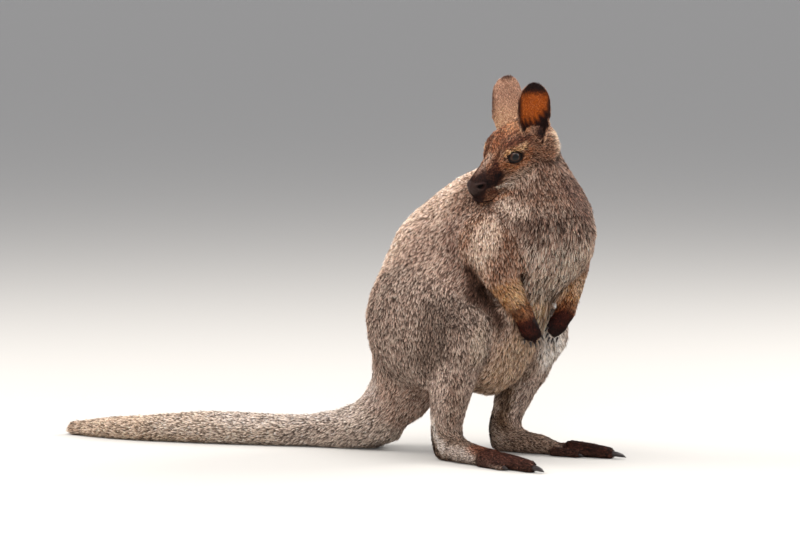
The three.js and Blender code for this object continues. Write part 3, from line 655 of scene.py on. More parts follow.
def folded_side(q):
    """The left half of the head, its points moved into lids, nostril and mouth."""
    # Lids: the skin rides over the eyeball, thick at the edge of the opening, with a crease above.
    away = q - EYE_PLACE
    far = np.linalg.norm(away, axis=1)
    gap = lid_gap(q)
    over = ease(away @ EYE_AXIS / np.maximum(far, 1e-6), 0.0, 0.35)
    thick = EYE_RADIUS + 1.3 + 0.9 * hill(gap, 0.08, 0.18) - 1.2 * hill(gap, 0.66, 0.12)
    lid = np.maximum(far, mix(thick, thick - 3.0, ease(gap, 0.5, 1.2)))
    share = over * ease(-far, -EYE_RADIUS * 1.55, -EYE_RADIUS * 1.2)
    target = mix(EYE_RADIUS - 2.2, lid, ease(gap, -0.07, 0.03))
    q = q + away / np.maximum(far, 1e-6)[:, None] * ((target - far) * share)[:, None]
    # Nostril: a comma-shaped pit with a raised rim.
    d = q - NOSTRIL
    along, across = d[:, 0] * 0.97 + d[:, 2] * 0.24, d[:, 2] * 0.97 - d[:, 0] * 0.24
    oval = np.hypot(along / 6.2, (across + 0.9 * bump(along + 1, 7)) / 3.6)
    reach = np.exp(-(d[:, 1] / 9) ** 4)
    pit = 6.0 * ease(-oval, -1.12, -0.35) * reach
    rim = 1.5 * hill(oval, 1.4, 0.32) * reach
    q = q + vec(-0.35, -0.9, 0.1) * pit[:, None] + vec(0.3, 0.9, 0.25) * rim[:, None]
    # Mouth: a thin groove from under the nose to the cheek, the upper lip standing over it.
    off = above_mouth(q)
    part = ease(q[:, 0], -60, -50) * ease(-np.abs(q[:, 1]), -40, -32)
    inward = unit(np.stack([-0.3 + 0 * off, -0.9 * ease(q[:, 1], 0, 4), 0.1 + 0 * off], 1))
    groove = 2.4 * bump(off, 1.5) * part
    lip = (0.9 * hill(off, 3.0, 1.8) + 0.5 * hill(off, -2.8, 1.4)) * part
    return q + inward * (groove - lip)[:, None]


def fold_head(skin):
    """Sculpts the head's folds into the skin."""
    q = to_head(skin.points)
    head = (apart(q, (-60, 0, 0)) < 85) & (q[:, 0] > -108)
    side = np.where(q[:, 1] >= 0, 1.0, -1.0)
    skin.head = q * mirror(side)
    folded = skin.head.copy()
    folded[head] = folded_side(folded[head])
    folded[:, 1] *= side
    folded[:, 0] -= 1.8 * bump(near_line(folded, LIP_SPLIT), 2.0) * head
    skin.points = from_head(folded)
    skin.normals = normals_of(skin.points, skin.faces)
    skin.gap = np.where(head, lid_gap(skin.head), 9.0)


# ---------------------------------------------------------------- the lie of the hair
def guided(points, guides, softness):
    """Directions blended from guides, by how near each is, in millimetres."""
    total = np.zeros_like(points)
    for place, way in guides:
        far = ((points - vec(*place)) ** 2).sum(1)
        total += (1 / (far + softness ** 2) ** 1.5)[:, None] * unit(vec(*way))
    return unit(total)


def lie_of(skin):
    """The way that the hair points at each point of the skin, along its surface."""
    lie = np.zeros_like(skin.points)
    head = to_head(skin.points)
    flip = mirror(np.where(head[:, 1] < 0, -1.0, 1.0))
    over_head = guided(head * flip, HEAD_LIE, 8) * flip @ HEAD_TURN.T
    for number, node in enumerate(skin.nodes):
        own = skin.label == number
        kind = kind_of(node)
        if kind == "toe":
            node = "foot_" + node.split("_")[2]
        if node in BONES:
            start, end = BONES[node]
            lie[own] = unit(vec(*end) - vec(*start))
        elif kind == "ear":
            lie[own] = HEAD_TURN @ ear_turn(node.split("_")[1]) @ vec(0, 0, 1)
        elif kind in ("head", "nose", "eye"):
            lie[own] = over_head[own]
        else:
            guides = [(place, way) for kinds, place, way in LIE if kind in kinds.split()]
            lie[own] = guided(skin.points[own] / MM, guides, 25)
    lie = spread(lie, skin.edges, 24)
    swirl = np.stack([noise(skin.points, 0.045, seed) - 0.5 for seed in (1, 2, 3)], 1)
    lie = unit(lie) + 0.35 * swirl
    return unit(lie - skin.normals * (lie * skin.normals).sum(1)[:, None])


# ---------------------------------------------------------------- the markings, with painted light and shade
# Patches of colour on the body: kinds of node, half sizes in millimetres, display colour, strength, and
# the lines through several points that they lie on, often one for each side of the body.
BODY_MARKS = (
    # Pale along the back from the hips to the shoulders: partly the coat's own paler back and partly painted
    # light, the top lighter where the light from above falls.
    ("trunk neck", (66, 66, 62), (238, 206, 186), 0.9, ((60, 10, 250), (130, 17, 350), (220, 17, 415))),
    ("trunk", (50, 60, 50), (214, 198, 192), 0.85, ((40, 10, 180), (60, 10, 110))),
    ("trunk", (40, 40, 40), (168, 141, 128), 0.8,
     ((125, -60, 215), (150, -75, 250), (200, -75, 290)), ((125, 90, 215), (150, 105, 250), (200, 105, 290))),
    # Darker behind each shoulder, the top of the band below: painted shade in the hollow between the
    # forequarters and the body.
    ("trunk neck", (30, 40, 40), (118, 92, 82), 0.85,
     ((250, -70, 350), (258, -65, 310)), ((262, 105, 350), (270, 100, 310))),
    # Near black behind each upper arm: painted shade between the arm and the body.
    ("trunk neck upper_arm", (24, 32, 24), (58, 40, 32), 0.9,
     ((284, -60, 300), (288, -54, 250), (305, -50, 225)), ((300, 95, 300), (300, 95, 240))),
    ("trunk neck upper_arm", (24, 28, 26), (218, 188, 170), 0.75,
     ((320, -78, 356), (302, -80, 322)), ((352, 105, 356), (338, 110, 322))),
    ("trunk neck upper_arm", (13, 26, 18), (116, 84, 68), 0.85,
     ((350, -72, 340), (342, -76, 300)), ((385, 85, 340), (376, 96, 300))),
    ("trunk neck", (34, 52, 34), (162, 138, 122), 0.85, ((412, 28, 318), (360, 15, 262))),
    ("trunk", (26, 40, 24), (176, 134, 96), 0.8, ((350, 20, 246), (335, 18, 215))),
    ("trunk", (50, 60, 50), (168, 138, 112), 0.8, ((320, 15, 180), (240, 15, 110))),
    # A darker band across the top of the chest: partly the coat's own darker band and partly painted shade
    # under the head and neck, where less light falls.
    ("trunk neck", (26, 32, 26), (84, 64, 55), 0.7, ((350, -50, 376), (395, -30, 366), (424, 40, 372))),
    ("neck trunk", (20, 22, 14), (204, 176, 160), 0.8, ((340, -62, 400), (356, -58, 392))),
    ("neck head", (22, 22, 14), (112, 78, 60), 0.8, ((330, -80, 430), (345, -70, 424))),
    # Darker down the front of the neck: partly its own brown and partly painted shade on the side that faces
    # away from the light.
    ("neck trunk", (24, 40, 24), (96, 70, 60), 0.8, ((412, 20, 430), (425, 35, 395))),
    ("upper_arm", (16, 22, 14), (150, 116, 96), 0.6, ((290, -85, 296), (312, -88, 290))),
    ("forearm", (17, 24, 15), (84, 48, 28), 0.9, ((345, -28, 240), (344, -22, 226))),
    ("forearm", (17, 22, 15), (84, 48, 28), 0.9, ((372, 60, 240), (374, 55, 226))),
    ("forearm", (14, 18, 14), (204, 156, 112), 0.85, ((352, -50, 262), (342, -58, 282))),
    ("forearm", (14, 16, 14), (214, 176, 146), 0.85, ((390, 78, 266), (380, 84, 282))),
    ("hand forearm", (16, 20, 11), (70, 28, 17), 0.6,
     ((350, -28, 216), (352, -24, 206)), ((374, 50, 228), (372, 46, 216))),
    # Darker over the middle of each thigh's outer side: painted shade where the thigh turns away from the
    # light above.
    ("thigh", (40, 40, 42), (90, 75, 67), 0.85,
     ((245, -95, 225), (225, -95, 170)), ((260, 125, 225), (245, 125, 170))),
    ("thigh trunk", (10, 26, 18), (186, 164, 148), 0.85, ((303, -80, 215), (300, -80, 165))),
    ("thigh trunk shank", (24, 28, 24), (250, 242, 236), 0.95, ((335, 90, 200), (330, 88, 150))),
    ("thigh", (40, 40, 30), (132, 114, 104), 0.7,
     ((150, -80, 120), (200, -85, 100)), ((165, 110, 120), (215, 115, 100))),
    ("shank", (20, 18, 20), (112, 92, 78), 0.75, ((300, 80, 150), (262, 66, 110))),
    ("shank foot", (16, 16, 18), (78, 58, 42), 0.8, ((262, 66, 100), (252, 62, 52))),
    ("shank", (10, 22, 18), (110, 88, 76), 0.6, ((268, -78, 140), (246, -66, 70))),
    ("shank foot", (9, 22, 12), (246, 232, 224), 0.9, ((212, -60, 70), (216, -58, 40), (228, -72, 20))),
    ("foot shank", (14, 22, 12), (150, 130, 118), 0.7, ((234, 80, 40), (245, 78, 22))),
    ("foot", (14, 22, 12), (206, 190, 182), 0.85, ((244, -74, 18), (284, -80, 14))),
    ("foot toe", (24, 24, 9), (104, 56, 38), 0.75, ((296, -74, 26), (322, -80, 26))),
    ("foot toe", (18, 24, 11), (66, 40, 33), 0.8, ((318, -80, 20), (352, -88, 22), (400, -92, 20))),
    ("foot toe", (30, 8, 5), (170, 150, 138), 0.6, ((300, -100, 4), (345, -106, 4))),
    ("foot toe", (20, 26, 16), (48, 24, 17), 0.92, ((372, 96, 24), (430, 102, 20))),
    ("foot toe", (20, 24, 10), (104, 56, 38), 0.8, ((344, 90, 34), (372, 94, 34))),
    ("tail_base tail_middle", (60, 30, 14), (190, 178, 172), 0.7, ((60, 5, 60), (-150, -75, 40))),
    ("tail_middle tail_end", (60, 30, 10), (196, 168, 144), 0.7, ((-240, -105, 6), (-400, -130, 4))),
    ("tail_end", (16, 20, 20), (140, 118, 104), 0.5, ((-430, -128, 16), (-467, -125, 10))),
)

# On the head, in its own frame and for both sides at once: line, half sizes, colour and strength.
HEAD_MARKS = (
    (((-112, 12, 50), (-100, 0, 52)), (16, 16, 12), (152, 98, 62), 0.85),
    (((-66, 0, 38), (-84, 4, 46)), (12, 8, 12), (110, 64, 40), 0.8),
    (((-50, 13, 27), (-66, 14, 38), (-84, 15, 47), (-104, 16, 55)), (6, 3.5, 6), (66, 36, 24), 0.7),
    (((-76, 26, 44), (-100, 32, 42)), (13, 9, 8), (76, 42, 30), 0.75),
    (((-56, 24, 20), (-68, 32, 14), (-88, 38, 17), (-98, 40, 24)), (10, 10, 8), (150, 90, 54), 0.8),
    (((-68, 28, 36.5), (-94, 34, 37)), (9, 6, 5.5), (216, 158, 110), 0.95),
    (((-56, 26, -4), (-66, 32, -2), (-92, 42, 0)), (12, 10, 9), (146, 118, 102), 0.85),
    (((-54, 27, -9), (-84, 42, -10)), (12, 12, 8), (150, 124, 110), 0.85),
    (((-100, 46, 12), (-112, 50, -8)), (14, 14, 14), (104, 74, 60), 0.8),
    # Pale along the top of the nose's bridge: partly its grey-brown short hair and partly a painted sheen.
    (((-24, 0, 17), (-36, 0, 25), (-52, 0, 31)), (9, 6.5, 7), (146, 118, 104), 0.9),
    (((-20, 13, 6), (-34, 16, 4), (-42, 17, 9)), (11, 8, 9), (30, 12, 8), 0.97),
    (((-36, 13, 15), (-48, 15, 20)), (8, 6, 8), (52, 26, 17), 0.85),
    (((-33, 16, -8), (-44, 20, -9), (-56, 25, -10)), (7, 8, 3.8), (216, 194, 178), 0.9),
    (((-18, 8, -8), (-30, 13, -10)), (8, 8, 6), (78, 42, 28), 0.85),
    (((-18, 6, -22), (-34, 10, -23), (-60, 24, -21)), (11, 12, 3.2), (176, 118, 88), 0.85),
    (((-36, 0, -34), (-80, 0, -36)), (26, 20, 8), (196, 166, 144), 0.85),
    (((-126, 40, 37), (-131, 36, 46)), (8, 8, 8), (30, 15, 12), 0.9),
)
# The nostril's pit colour is near black: painted shade inside the nostril.
# The rim colour darkens the lids' own dark rims, and is also painted shade in the groove of the mouth.
LIP_COLOUR, NOSE_COLOUR, RIM_AND_GROOVE_SHADE, NOSTRIL_PIT_SHADE = (52, 26, 18), (36, 23, 19), (20, 12, 10), (6, 3, 3)
# The ear: deep in its hollow, in the hollow, its edges, and the back low down and higher up.
EAR_BASE, EAR_INSIDE, EAR_EDGE = (30, 13, 9), (168, 82, 22), (30, 14, 10)
EAR_LOW, EAR_BACK = (204, 156, 126), (168, 128, 108)
# The tuft of pale hair behind each ear.
TUFT, TUFT_COLOUR = ((-148, 42, 30), (-146, 43, 14), (-146, 40, -4)), (232, 200, 172)
WARMTH = vec(1.0, 0.965, 0.935)
MARK_REACH = 160


def patch(points, line, half, seed):
    """How strongly a patch of colour covers each point, with a broken edge."""
    scale = vec(*half)
    far = near_line(points / scale, np.array(line, float) / scale)
    return ease(-far + 0.45 * (noise(points, min(half) * 0.5, seed) - 0.5), -1.3, -0.45)


def markings_and_painted_light(skin):
    """The display colour of the coat at each point of the skin: its markings, with painted light and shade in
    places.
    """
    own = np.array([KINDS[kind_of(n)][4] for n in skin.nodes], float)
    tint = spread(own[skin.label], skin.edges, 14)
    p = skin.points / MM
    masks, row = {}, 0
    for names, half, colour, strength, *lines in BODY_MARKS:
        if names not in masks:
            masks[names] = spread(is_kind(skin, names) * 1.0, skin.edges, 24)
        for line in lines:
            near = sum((np.abs(p - vec(*end)) < MARK_REACH).all(1) for end in (line[0], line[-1])) > 0
            near &= masks[names] > 0.02
            share = np.zeros(len(p))
            share[near] = patch(p[near], line, half, row) * strength * masks[names][near]
            tint = painted(tint, colour, share)
            row += 1
    heads = is_kind(skin, "head nose eye neck") & (apart(skin.head, (-60, 20, 0)) < 110)
    q, face = skin.head[heads], tint[heads]
    on_face = 1 - is_kind(skin, "neck")[heads]
    for row, (line, half, colour, strength) in enumerate(HEAD_MARKS):
        face = painted(face, colour, patch(q, line, half, row + 50) * strength)
    lips = bump(above_mouth(q), 2.6) * ease(q[:, 0], -54, -44) * on_face
    face = painted(face, LIP_COLOUR, np.clip(lips * 1.5, 0, 1))
    # A near black line along the mouth: painted shade in the groove between the lips.
    mouth_groove_shade = bump(above_mouth(q), 2.2) * ease(q[:, 0], -62, -55) * on_face
    face = painted(face, RIM_AND_GROOVE_SHADE, np.clip(mouth_groove_shade * 1.4, 0, 1))
    face = painted(face, NOSE_COLOUR, ease(-apart(q, (-6, 0, 6), (0.75, 0.72, 1)), -14, -10.5) * on_face)
    # The pit of the nostril painted near black: painted shade inside the nostril.
    face = painted(face, NOSTRIL_PIT_SHADE, ease(-nostril_gap(q), -5.5, -3.5))
    tint[heads] = painted(face, RIM_AND_GROOVE_SHADE, ease(-skin.gap[heads], -0.42, -0.22))
    skin.ears = []
    for side in EARS:
        ear = skin.label == skin.nodes.index("ear_" + side)
        hollow, t = ear_hollow(skin.points[ear], skin.normals[ear], side)
        skin.ears.append((ear, hollow, t))
        rear = in_ear(skin.points[ear], side)[:, 0] / -EAR_HALF * np.sign(ear_turn(side)[0, 0])
        high = t + 0.05 * np.sin(skin.head[ear][:, 0] * 0.9) - 0.2 * ease(rear, 0, 0.8)
        inside = painted(vec(*EAR_BASE), EAR_INSIDE, ease(high, 0.22, 0.46))
        inside = painted(inside, EAR_EDGE, ease(t, 0.76, 0.92))
        inside = painted(inside, EAR_EDGE, 0.85 * ease(np.abs(rear), 0.66, 0.9))
        back = painted(vec(*EAR_BACK), EAR_LOW, 1 - ease(t, 0.25, 0.7))
        dusk = np.maximum(0.75 * ease(t, 0.9, 1.0), 0.55 * ease(-rear, 0.7, 0.98))
        tint[ear] = mix(painted(back, EAR_EDGE, dusk), inside, hollow[:, None])
    cream = patch(skin.head, TUFT, (10, 10, 10), 90) * is_kind(skin, "head neck")
    return painted(tint, TUFT_COLOUR, 0.75 * cream) * WARMTH


# ---------------------------------------------------------------- the coat
GROUPS = {
    "coat_trunk": "trunk",
    "coat_neck": "neck",
    "coat_head": "head nose eye ear",
    "coat_tail": "tail_base tail_middle tail_end",
    "coat_legs": "thigh shank foot toe",
    "coat_arms": "upper_arm forearm hand",
}
# The number of blades, and the most of them in one piece.
BLADES = 455000
PER_PIECE = 64000
# The distance between clumps, in millimetres, and the share of blades that stand out and by how much.
CLUMP = 2.1
GUARDS, GUARD_RISE = 0.07, 1.7
# How bright a blade is at its two root corners, its two middle corners and its tip.
SHADE = vec(0.13, 0.13, 0.6, 0.6, 2.3)
# How much darker a dark clump is, the colour of pale bands and tips, and the least height of a blade.
DARK_SHARE = 0.68
FROST = vec(250, 230, 210)
CLEARANCE = 0.0006
# Places with longer hair: line and half sizes in millimetres, and how many times as long it is.
LONGER = (
    (((395, -10, 340), (350, 18, 230)), (45, 55, 45), 2.0),
    (((362, 36, 262), (352, 36, 244)), (13, 20, 14), 3.4),
    ((from_head((-138, 38, 2)) / MM, from_head((-134, 38, -16)) / MM), (16, 16, 12), 1.8),
    (((320, 15, 180), (240, 15, 110)), (50, 60, 45), 1.3),
    (((330, 85, 200), (320, 75, 150)), (26, 30, 26), 1.35),
)
# The long hair over the far wrist, and the chest, where the coat is more contrasty.
CUFF = ((370, 46, 262), (362, 44, 240))
CHEST = ((400, -10, 340), (350, 18, 240))


def bare_nose(q):
    """1 on the bare pad of the nose, 0 away from it."""
    return ease(-apart(q, (-6, 0, 7), (0.75, 0.72, 1)), -11.5, -9.5)


def coat_density(skin):
    """How much of the usual coat grows at each point, and how much longer than usual it is there."""
    q, p = skin.head, skin.points / MM
    density, longer = np.ones(len(p)), np.ones(len(p))
    nose = is_kind(skin, "nose")
    density[nose] = 1 - bare_nose(q[nose])
    density *= ease(skin.gap, 0.16, 0.34)
    density *= ease(nostril_gap(q), 7.5, 11)
    line = np.abs(above_mouth(q))
    mouth = ease(q[:, 0], -62, -54) * is_kind(skin, "head")
    density *= 1 - (1 - ease(line, 1.6, 3.0)) * mouth
    longer *= mix(1, 0.6, (1 - ease(line, 5, 9)) * mouth)
    for ear, hollow, t in skin.ears:
        density[ear] *= mix(1, 0.25, hollow)
        longer[ear] *= mix(1, 1.25, hollow * ease(-t, -0.5, -0.1))
    longer *= mix(1, 2.0, patch(q, TUFT, (13, 13, 13), 91))
    for line, half, more in LONGER:
        longer *= mix(1, more, patch(p, line, half, 92) * ~is_kind(skin, "forearm hand"))
    longer *= mix(1, 2.2, patch(p, CUFF, (14, 13, 14), 94) * is_kind(skin, "forearm"))
    # The coat's contrast, and how fine its clumps are: finer on the head and the limbs' ends.
    small = is_kind(skin, "head ear hand toe foot nose eye forearm")
    skin.fine = spread(np.where(small, 0.8, 1.0), skin.edges, 6)
    skin.contrast = np.where(is_kind(skin, "head forearm hand foot toe"), 1.3, skin.fine)
    skin.contrast *= mix(1, 0.8, spread(is_kind(skin, "ear") * 1.0, skin.edges, 4))
    skin.contrast *= mix(1, 1.8, patch(p, CHEST, (45, 55, 40), 93) * ~small)
    return density, longer


def unwrap(skin):
    """Each point's place on a flat map of the skin: a field for each node, round it and along it."""
    area = np.zeros(len(skin.nodes))
    np.add.at(area, skin.label[skin.faces[:, 0]], areas_of(skin))
    wide = np.sqrt(area / area.sum()) * 0.86
    place = np.zeros((len(skin.points), 2))
    x = y = shelf = 0.0
    for number in np.argsort(-wide):
        w = wide[number]
        if x + w > 1:
            x, y, shelf = 0.0, y + shelf, 0.0
        shelf = max(shelf, w)
        own = skin.label == number
        p = skin.points[own] - skin.points[own].mean(0)
        axes = np.linalg.eigh(p.T @ p)[1]
        along = p @ axes[:, 2]
        along = (along - along.min()) / (np.ptp(along) + 1e-9)
        turn = np.arctan2(p @ axes[:, 1], p @ axes[:, 0]) / (2 * math.pi) + 0.5
        place[own] = vec(x, y) + w * (0.02 + 0.96 * np.stack([turn, along], 1))
        x += w
    return place


class Roots:
    """Where the blades of the coat grow, and what each takes from the skin under it."""


def sow(skin, count):
    """Roots spread over the skin, more of them where the hair is short and narrow."""
    density, longer = coat_density(skin)
    area = areas_of(skin)
    need = density / (skin.length * skin.width) ** 0.85
    total = np.cumsum(area * need[skin.faces].mean(1))
    face = np.searchsorted(total, (np.arange(count) + RNG.random(count)) / count * total[-1])
    face = np.minimum(face, len(skin.faces) - 1)
    u, v = RNG.random(count), RNG.random(count)
    over = u + v > 1
    u, v = np.where(over, 1 - u, u), np.where(over, 1 - v, v)
    share = np.stack([1 - u - v, u, v], 1)
    corner = skin.faces[face]

    def at(values):
        picked = values[corner]
        return (picked * share.reshape(share.shape + (1,) * (picked.ndim - 2))).sum(1)

    roots = Roots()
    roots.area = area.sum()
    roots.crowd = at(need)
    roots.place = at(skin.points)
    roots.normal = unit(at(skin.normals))
    roots.lie = unit(at(skin.lie))
    roots.length = at(skin.length * longer)
    for name in ("depth", "width", "tint", "contrast", "fine"):
        setattr(roots, name, at(getattr(skin, name)))
    roots.label = skin.label[corner[:, 0]]
    roots.flat = skin.flat[corner[:, 0]]
    return roots


def clumps_of(roots):
    """The number of the clump that each blade belongs to, and the roots at the clumps' middles."""
    chance = (3.2 - 2.2 * ease(roots.fine, 0.82, 0.98)) / roots.crowd
    count = int(roots.area / (CLUMP * MM) ** 2 * chance.sum() / (1 / roots.crowd).sum())
    middles = np.sort(RNG.choice(len(roots.place), count, False, chance / chance.sum()))
    tree = KDTree(count)
    for number, place in enumerate(roots.place[middles].tolist()):
        tree.insert(place, number)
    tree.balance()
    return np.array([tree.find(place)[1] for place in roots.place.tolist()]), middles


def grow(roots):
    """The blades: points, normals and colours of five corners each, root to tip."""
    count = len(roots.place)
    clump, middles = clumps_of(roots)
    number = len(middles)
    swing = RNG.normal(0, 0.16, number)[clump] + RNG.normal(0, 0.10, count)
    side = np.cross(roots.normal, roots.lie)
    way = roots.lie * np.cos(swing)[:, None] + side * np.sin(swing)[:, None]
    side = np.cross(roots.normal, way)
    length = roots.length * RNG.uniform(0.75, 1.2, count) * RNG.uniform(0.88, 1.12, number)[clump]
    rise = np.clip(roots.depth / roots.length * 1.65, 0.12, 0.75) * RNG.uniform(0.7, 1.3, count)
    rise = rise * np.where(RNG.random(count) < GUARDS, GUARD_RISE, 1.0)
    low, high = np.sin(rise), np.sin(rise * 0.3)
    half = (length * MM / 2)[:, None]
    middle = roots.place + (way * np.cos(rise)[:, None] + roots.normal * low[:, None]) * half
    tip = middle + (way + roots.normal * high[:, None]) * half
    goal = tip[middles][clump]
    pull = RNG.uniform(0.2, 0.7, number)[clump][:, None]
    close = np.minimum(1, 1.2 * length * MM / np.maximum(np.linalg.norm(goal - tip, axis=1), 1e-9))[:, None]
    shift = (goal - tip) * pull * close
    tip, middle = tip + shift, middle + shift * 0.4
    roll = np.clip(RNG.normal(0, 0.55, count), -1.3, 1.3)[:, None]
    across = side * np.cos(roll) + roots.normal * np.sin(roll)
    wide = (roots.width * RNG.uniform(0.75, 1.25, count) * MM / 2)[:, None]
    points = np.stack([
        roots.place - across * wide, roots.place + across * wide,
        middle - across * wide * 0.8, middle + across * wide * 0.8, tip,
    ], 1)
    points[:, :, 2] = np.maximum(points[:, :, 2], CLEARANCE)
    facing = unit(np.cross(way, across))
    base = mix(facing, roots.normal, 0.62)
    normals = np.stack([base - across * 0.3, base + across * 0.3] * 2 + [base + way * 0.15], 1)
    # The tone goes by clumps: some dark, some with pale bands and tips, the rest between.
    harsh = roots.contrast
    tone = RNG.random(number)[clump]
    dark, pale = ease(-tone, -0.42, -0.28), ease(tone, 0.62, 0.76)
    bright = np.exp(harsh * (RNG.normal(0, 0.18, number)[clump] + RNG.normal(0, 0.36, count)))
    tint = linear(roots.tint) * (bright * (1 - DARK_SHARE * dark * np.minimum(harsh, 1.2)))[:, None]
    colours = tint[:, None, :] * SHADE[None, :, None]
    pale = pale * 0.8 * harsh * ease(roots.tint.mean(1), 50, 120)
    whiteness = 0.5 + 0.22 * ease(roots.fine, 0.82, 0.98)
    frost = linear(mix(roots.tint, FROST, whiteness[:, None]))
    for corner, share in ((2, 0.25), (3, 0.25), (4, 1.2)):
        colours[:, corner] = mix(colours[:, corner], frost, (pale * share)[:, None])
    return points, unit(normals), np.clip(colours, 0.002, 0.95)


def add_coat(skin, material):
    """The coat, as joined pieces of blades for each group of nodes."""
    roots = sow(skin, BLADES)
    points, normals, colours = grow(roots)
    kinds = np.array([kind_of(n) for n in skin.nodes])[roots.label]
    # Each blade has a small patch of its own on the flat map, round its root's place.
    patch_u, patch_v = vec(-0.0015, 0.0015, -0.0012, 0.0012, 0), vec(-0.0015, -0.0015, 0, 0, 0.0015)
    flat = roots.flat[:, None, :] + np.stack([patch_u, patch_v], 1)[None]
    pattern = np.array([[0, 3, 1], [0, 2, 3], [2, 4, 3]])
    for group, names in GROUPS.items():
        own = np.flatnonzero(np.isin(kinds, names.split()))
        shares = np.array_split(own, max(1, math.ceil(len(own) / PER_PIECE)))
        for number, chosen in enumerate(shares):
            name = group + ("_%d" % (number + 1) if len(shares) > 1 else "")
            faces = (np.arange(len(chosen))[:, None, None] * 5 + pattern).reshape(-1, 3)
            mesh = new_mesh(name, faces, *(x[chosen].reshape(-1, 3) for x in (points, colours, normals)))
            places = flat[chosen].reshape(-1, 2)[faces.ravel()]
            layer = mesh.uv_layers.new(name="OFBake")
            layer.uv.foreach_set("vector", places.astype(np.float32).ravel())
            mesh.materials.append(material)
            piece = new_object(name, mesh)
            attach(piece, "root")


# ---------------------------------------------------------------- materials
# For each finish: the least and most strength of its grain, the grain's scale, the shader's values, and
# its relief: kind of texture, output, values, strength and depth in metres.
NOISE, CELLS = "ShaderNodeTexNoise", "ShaderNodeTexVoronoi"
FINISHES = {
    # Hair: soft, with a faint gloss.
    "coat": (0.9, 1.1, 500.0, {"Roughness": 0.62, "Specular IOR Level": 0.12}, None),
    # The undercoat: the coat's colours with a short matt nap.
    "undercoat": (0.6, 1.25, 900.0, {"Roughness": 0.8, "Specular IOR Level": 0.2},
                  (NOISE, "Fac", {"Scale": 900.0, "Detail": 3.0}, 0.5, 0.0006)),
    # The bare pad of the nose: dark, moist and pebbled.
    "nose": (0.7, 1.2, 600.0, {"Roughness": 0.5, "Specular IOR Level": 0.16},
             (CELLS, "Distance", {"Scale": 900.0}, 0.5, 0.0005)),
    # A wet eye: a dark brown iris under a clear gloss.
    "eye": (0.75, 1.2, 700.0, {"Roughness": 0.3, "Specular IOR Level": 0.15, "Coat Weight": 0.5,
                               "Coat IOR": 1.35, "Coat Roughness": 0.03}, None),
    # Horn: dark and smooth, with faint lines along it.
    "claw": (0.6, 1.3, 350.0, {"Roughness": 0.36}, (NOISE, "Fac", {"Scale": 1200.0}, 0.25, 0.0003)),
}


def add_texture(tree, kind, values):
    """A texture in the object's own coordinates."""
    node = tree.nodes.new(kind)
    set_inputs(node, values)
    place = tree.nodes.new("ShaderNodeTexCoord")
    tree.links.new(place.outputs["Object"], node.inputs["Vector"])
    return node


def finish(name):
    """A material of the mesh's own colours, broken up by fine noise, with its relief."""
    low, high, scale, values, relief = FINISHES[name]
    material = bpy.data.materials.new(name)
    material.use_nodes = True
    tree = material.node_tree
    link = tree.links.new
    shader = tree.nodes["Principled BSDF"]
    set_inputs(shader, values)
    tint = tree.nodes.new("ShaderNodeVertexColor")
    tint.layer_name = "tint"
    grain = add_texture(tree, NOISE, {"Scale": scale, "Detail": 3.0})
    reach = tree.nodes.new("ShaderNodeMapRange")
    set_inputs(reach, {"To Min": low, "To Max": high})
    link(grain.outputs["Fac"], reach.inputs["Value"])
    scaled = tree.nodes.new("ShaderNodeVectorMath")
    scaled.operation = "SCALE"
    link(tint.outputs["Color"], scaled.inputs[0])
    link(reach.outputs["Result"], scaled.inputs["Scale"])
    link(scaled.outputs["Vector"], shader.inputs["Base Color"])
    if relief:
        kind, output, inputs, strength, depth = relief
        raised = tree.nodes.new("ShaderNodeBump")
        set_inputs(raised, {"Strength": strength, "Distance": depth})
        link(add_texture(tree, kind, inputs).outputs[output], raised.inputs["Height"])
        link(raised.outputs["Normal"], shader.inputs["Normal"])
    return material


# ---------------------------------------------------------------- skin, nose, eyes and claws
# How bright the skin is under the coat, darkened as painted shade deep in the fur, and how far the lashes'
# roots are from the eye's middle.
UNDERCOAT_PAINTED_SHADE = 0.62
LASH_RADIUS = 13.2
EYEBALL_INSET = 0.15
CLAW_STEPS = 26
WHISKER_RADIUS = 0.24


def add_part(name, points, faces, normals, colours, material, slot, *nodes):
    """A smooth piece from arrays, riding on the body and standing for its nodes."""
    used, place = np.unique(faces, return_inverse=True)
    normals = normals if normals is None else normals[used]
    mesh = new_mesh(name, place.reshape(faces.shape), points[used], colours[used], normals)
    mesh.polygons.foreach_set("use_smooth", np.ones(len(mesh.polygons), bool))
    mesh.materials.append(material)
    piece = new_object(name, mesh)
    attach(piece, "root")
    if nodes:
        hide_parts(*nodes)


def add_skin(skin):
    """The skin, and the pad of the nose as a piece of its own on the same surface."""
    nose = is_kind(skin, "nose")
    pad = (nose & (bare_nose(skin.head) > 0.5))[skin.faces].all(1)
    # The skin under the coat is darkened as painted shade deep in the fur; the bare nose pad keeps its own
    # colour.
    under = linear(skin.tint) * np.where(nose, 1.0, UNDERCOAT_PAINTED_SHADE)[:, None]
    flesh = [n for n in FLESH if kind_of(n) not in ("nose", "eye")]
    add_part("skin", skin.points, skin.faces[~pad], skin.normals, under, finish("undercoat"), "coat", *flesh)
    add_part("nose_pad", skin.points, skin.faces[pad], skin.normals, under, finish("nose"), "nose", "nose")


def ball(rings, sides):
    """A unit ball about z: points and quads."""
    rise = np.linspace(0, math.pi, rings + 1)[:, None]
    turn = np.arange(sides) / sides * 2 * math.pi
    grid = [np.sin(rise) * np.cos(turn), np.sin(rise) * np.sin(turn), np.cos(rise)]
    i, j = np.meshgrid(np.arange(rings), np.arange(sides), indexing="ij")
    here, there = i * sides, (i + 1) * sides
    k = (j + 1) % sides
    faces = np.stack([here + j, there + j, there + k, here + k], 2).reshape(-1, 4)
    return np.stack(np.broadcast_arrays(*grid), 2).reshape(-1, 3), faces


